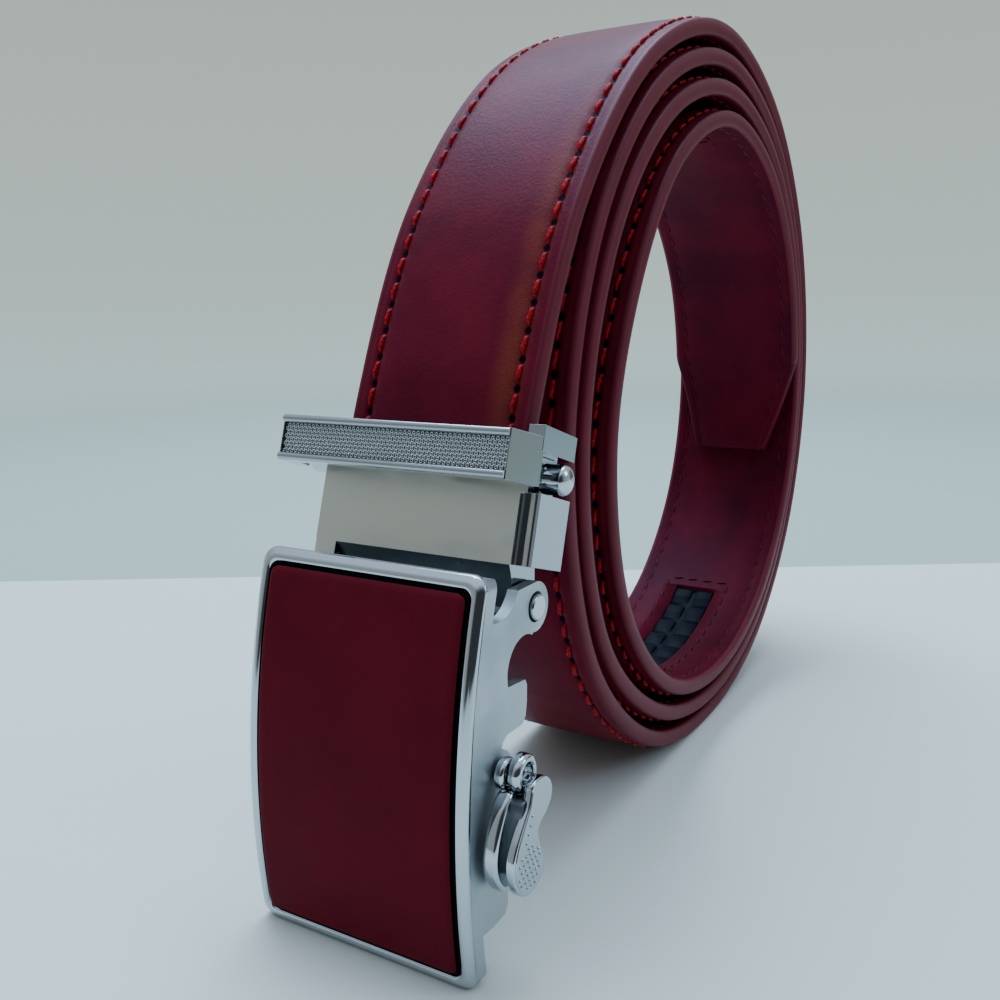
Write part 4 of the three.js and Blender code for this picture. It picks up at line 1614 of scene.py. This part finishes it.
    def build_dots(self, chrome: bpy.types.Material) -> None:
        """Casts the rows of dots on the round grip."""
        bm = bmesh.new()
        pitch, radius = 1.0, 0.28
        spots = [
            (3.6 + (column - 4 + 0.5 * (row % 2)) * pitch, 17.2 + (row - 4) * pitch * 0.86)
            for row in range(9) for column in range(9)
        ]
        spots = [(y, z) for y, z in spots if math.hypot(y - 3.7, z - 17.1) < 2.9]
        spots += [(2.6 + 0.42 * row, 20.6 + 1.05 * row) for row in range(4)]
        for y, z in spots:
            middle = Matrix.Translation(self.axes.place(self.outer_face + 0.12, y, z))
            bmesh.ops.create_icosphere(bm, subdivisions=2, radius=radius * MM, matrix=middle)
        finish_piece("lever_dots", bm, (chrome,), Body.RELEASE, Slot.CHROME)


@dataclass
class Buckle:
    """The automatic buckle: clamp, keeper, frame, panel and release lever."""

    clamp_axes: LocalAxes
    frame_axes: LocalAxes

    def build(self, finishes: Finishes) -> None:
        """Builds each piece of the buckle.

        Args:
            finishes: the belt's materials.
        """
        chrome, steel = finishes.chrome, finishes.steel
        Clamp(self.clamp_axes).build(finishes.nickel, finishes.satin, finishes.shaded_plate)
        Keeper(self.clamp_axes).build(finishes.nickel, chrome, finishes.steel)
        for side in ("right", "left"):
            Casting(f"cross_pin_{side}", Body.BELT, Slot.CHROME, 0.15).build(chrome)
            Casting(f"hinge_pin_{side}", Body.BELT, Slot.CHROME, 0.3).build(chrome)
        Casting("clamp_jaw", Body.BELT, Slot.STEEL, 0.1).build(steel)
        plate = Plate(self.frame_axes)
        plate.build_casting(finishes.soft_chrome)
        plate.build_moulding(chrome)
        plate.build_gap_shade(finishes.core)
        plate.build_panel(finishes.panel, finishes.core)
        Casting("pawl", Body.RELEASE, Slot.STEEL).build(steel)
        self.build_shaft(steel)
        Lever(self.frame_axes).build(chrome, finishes.shaded_plate)

    def build_shaft(self, steel: bpy.types.Material) -> None:
        """Turns the shaft between the side walls."""
        profile = [(0.0, -18.6), (0.85, -18.6), (1.0, -18.4), (1.0, 19.0), (0.85, 19.2), (0.0, 19.2)]
        bm = turned(self.frame_axes, profile, Lever.hub_y, Lever.hub_z, 24)
        for edge in bm.edges:
            edge.smooth = edge.calc_face_angle(0.0) < math.radians(40)
        finish_piece("pawl_shaft_turned", bm, (steel,), Body.RELEASE, Slot.STEEL, ["pawl_shaft"])


# Studio


@dataclass(frozen=True)
class PhotoCamera:
    """The camera at the photograph's viewing angle."""

    place_mm: tuple[float, float, float] = (79.6, -195.2, 87.4)
    yaw: float = 30.78
    pitch: float = 11.62
    roll: float = -1.07
    lens_mm: float = 36.41
    sensor_mm: float = 36.0

    def build(self) -> None:
        """Places the camera and makes it the scene's own."""
        yaw, pitch, roll = (math.radians(a) for a in (self.yaw, self.pitch, self.roll))
        ahead = Vector((-math.sin(yaw) * math.cos(pitch), math.cos(yaw) * math.cos(pitch), -math.sin(pitch)))
        right = ahead.cross(Vector((0, 0, 1))).normalized()
        up = right.cross(ahead)
        tilted_right = math.cos(roll) * right + math.sin(roll) * up
        tilted_up = -math.sin(roll) * right + math.cos(roll) * up
        turn = Matrix((tilted_right, tilted_up, -ahead)).transposed().to_4x4()
        data = bpy.data.cameras.new("photo_camera")
        data.lens = self.lens_mm
        data.sensor_width = self.sensor_mm
        data.clip_start = 0.01
        camera = bpy.data.objects.new("photo_camera", data)
        camera.matrix_world = Matrix.Translation(Vector(self.place_mm) * MM) @ turn
        bpy.context.scene.collection.objects.link(camera)
        bpy.context.scene.camera = camera


@dataclass(frozen=True)
class Studio:
    """A pale sheet on a grey table before a grey backdrop, under one wide soft lamp, with a dim room in front."""

    sheet_reach: float = 0.311
    table_colour: str = "#afbbb1"
    sheet_colour: str = "#dee2dc"
    fade_start: float = 0.42
    fade_end: float = 0.95
    backdrop: tuple[tuple[float, str], ...] = (
        (0.0, "#afd5d7"), (0.38, "#aed3d5"), (0.5, "#a6b9b7"), (0.63, "#a0aba5"), (0.8, "#b4c4d4"), (1.0, "#d2e5ff"),
    )
    room: str = "#949a9f"
    dim_corners: tuple[tuple[tuple[float, float, float], str, float, float], ...] = (
        ((0.6, -0.8, 0.0), "#37393d", 0.5, 0.86),
        ((0.48, 0.877, 0.0), "#606a72", 0.92, 0.995),
    )
    world_strength: float = 1.4
    lamp_colour: str = "#c8e6ff"

    def build(self, camera: PhotoCamera) -> None:
        """Lays the table and the sheet, and sets the light.

        Args:
            camera: the camera whose view the sheet's far edge crosses.
        """
        yaw = math.radians(camera.yaw)
        turn = Matrix.Rotation(yaw, 4, "Z")
        near = Vector((camera.place_mm[0], camera.place_mm[1], 0)) * MM
        self.surface("table", 2.0, Matrix.Translation((0, 0, -0.0006)), self.table_colour)
        size = 1.2
        middle = Matrix.Translation(near) @ turn @ Matrix.Translation((0, self.sheet_reach - size, -0.0001))
        self.surface("sheet", size, middle, self.sheet_colour)
        self.lamp("key", (-0.16, 0.16, 0.8), 0.6, 9.8)
        self.lamp("side", (0.75, 0.25, 0.45), 0.3, 1.2)
        self.sky(Vector((-math.sin(yaw), math.cos(yaw), 0.0)))

    def surface(self, name: str, half: float, place: Matrix, colour: str) -> None:
        """Lays one flat matt surface that fades away far from the belt.

        Args:
            name: the surface's name.
            half: half its width.
            place: where its middle is.
            colour: its colour.
        """
        bm = bmesh.new()
        bmesh.ops.create_grid(bm, x_segments=2, y_segments=2, size=half, matrix=place)
        mesh = bpy.data.meshes.new(name)
        bm.to_mesh(mesh)
        bm.free()
        material, shader = new_material(name + "_paper")
        tree = material.node_tree
        shader.inputs["Base Color"].default_value = linear(colour)
        shader.inputs["Roughness"].default_value = 0.8
        shader.inputs["Specular IOR Level"].default_value = 0.1
        spot = add_node(tree, "TexCoord").outputs["Object"]
        distance = add_node(tree, "VectorMath", {"operation": "LENGTH"}, links={0: spot}).outputs["Value"]
        solid = add_node(
            tree,
            "MapRange",
            {"interpolation_type": "SMOOTHSTEP"},
            {"From Min": self.fade_start, "From Max": self.fade_end, "To Min": 1.0, "To Max": 0.0},
            {"Value": distance},
        ).outputs[0]
        tree.links.new(solid, shader.inputs["Alpha"])
        mesh.materials.append(material)
        surface = bpy.data.objects.new(name, mesh)
        bpy.context.scene.collection.objects.link(surface)

    def lamp(self, name: str, place: tuple[float, float, float], size: float, power: float) -> None:
        """Hangs a square soft lamp that faces the belt.

        Args:
            name: the lamp's name.
            place: where it hangs.
            size: its width.
            power: its power in watts.
        """
        data = bpy.data.lights.new(name, "AREA")
        data.energy = power
        data.size = size
        data.color = linear(self.lamp_colour)[:3]
        lamp = bpy.data.objects.new(name, data)
        lamp.location = place
        lamp.rotation_euler = (Vector((0, -0.02, 0.06)) - Vector(place)).to_track_quat("-Z", "Y").to_euler()
        bpy.context.scene.collection.objects.link(lamp)

    def sky(self, ahead: Vector) -> None:
        """Makes the room: the backdrop behind the belt, a bright ceiling, and dimness on the camera's side.

        Args:
            ahead: the level direction in which the camera looks.
        """
        world = bpy.data.worlds.new("light_tent")
        world.use_nodes = True
        tree = world.node_tree
        way = add_node(tree, "TexCoord").outputs["Generated"]
        height = add_node(tree, "SeparateXYZ", links={"Vector": way}).outputs["Z"]
        level = add_node(tree, "MapRange", values={"From Min": -1.0}, links={"Value": height}).outputs[0]
        ramp = add_node(tree, "ValToRGB", links={"Fac": level})
        stops = ramp.color_ramp.elements
        while len(stops) < len(self.backdrop):
            stops.new(1.0)
        for stop, (place, colour) in zip(stops, self.backdrop):
            stop.position = place
            stop.color = linear(colour)
        facing = add_node(
            tree, "VectorMath", {"operation": "DOT_PRODUCT"}, {1: ahead}, {0: way}
        ).outputs["Value"]
        behind_camera = add_node(
            tree,
            "MapRange",
            {"interpolation_type": "SMOOTHSTEP"},
            {"From Min": 0.3, "From Max": -0.5},
            {"Value": facing},
        ).outputs[0]
        under_ceiling = add_node(
            tree,
            "MapRange",
            {"interpolation_type": "SMOOTHSTEP"},
            {"From Min": 0.85, "From Max": 0.4},
            {"Value": height},
        ).outputs[0]
        glow = add_node(
            tree,
            "Mix",
            {"data_type": "RGBA"},
            {"B": linear(self.room)},
            {"Factor": math_node(tree, "MULTIPLY", behind_camera, under_ceiling), "A": ramp.outputs["Color"]},
        ).outputs["Result"]
        for corner, colour, start, full in self.dim_corners:
            toward = add_node(
                tree, "VectorMath", {"operation": "DOT_PRODUCT"}, {1: corner}, {0: way}
            ).outputs["Value"]
            share = add_node(
                tree,
                "MapRange",
                {"interpolation_type": "SMOOTHSTEP"},
                {"From Min": start, "From Max": full},
                {"Value": toward},
            ).outputs[0]
            glow = add_node(
                tree, "Mix", {"data_type": "RGBA"}, {"B": linear(colour)}, {"Factor": share, "A": glow}
            ).outputs["Result"]
        backdrop = tree.nodes["Background"]
        backdrop.inputs["Strength"].default_value = self.world_strength
        tree.links.new(glow, backdrop.inputs["Color"])
        bpy.context.scene.world = world


def main() -> None:
    """Builds the studio and the belt, piece by piece."""
    logging.basicConfig(level=logging.INFO, format="%(name)s %(message)s")
    camera = PhotoCamera()
    camera.build()
    Studio().build(camera)
    path = StrapPath()
    LOG.info("strap length %.1f mm", path.length)
    hinge = next(j for j in frame["joints"] if j["name"] == "frame_hinge")["pos_m"]
    lean = math.radians(5.2)
    foot_y = hinge[1] / MM - 48 * math.sin(lean) - 13 * math.cos(lean)
    strap = LeatherStrap(path)
    finishes = make_finishes(strap.stitch_pitch, strap.stitch_across)
    strap.build(finishes)
    strap.stitches(finishes, StrapFace.OUTER)
    strap.stitches(finishes, StrapFace.LINING)
    strap.window_stitches(finishes.bobbin)
    strap.rack(finishes.nylon)
    Buckle(LocalAxes(path.clamp_y, path.clamp_z, path.clamp_tilt), LocalAxes(foot_y, 0.0, 5.2)).build(finishes)


if __name__ == "__main__":
    main()
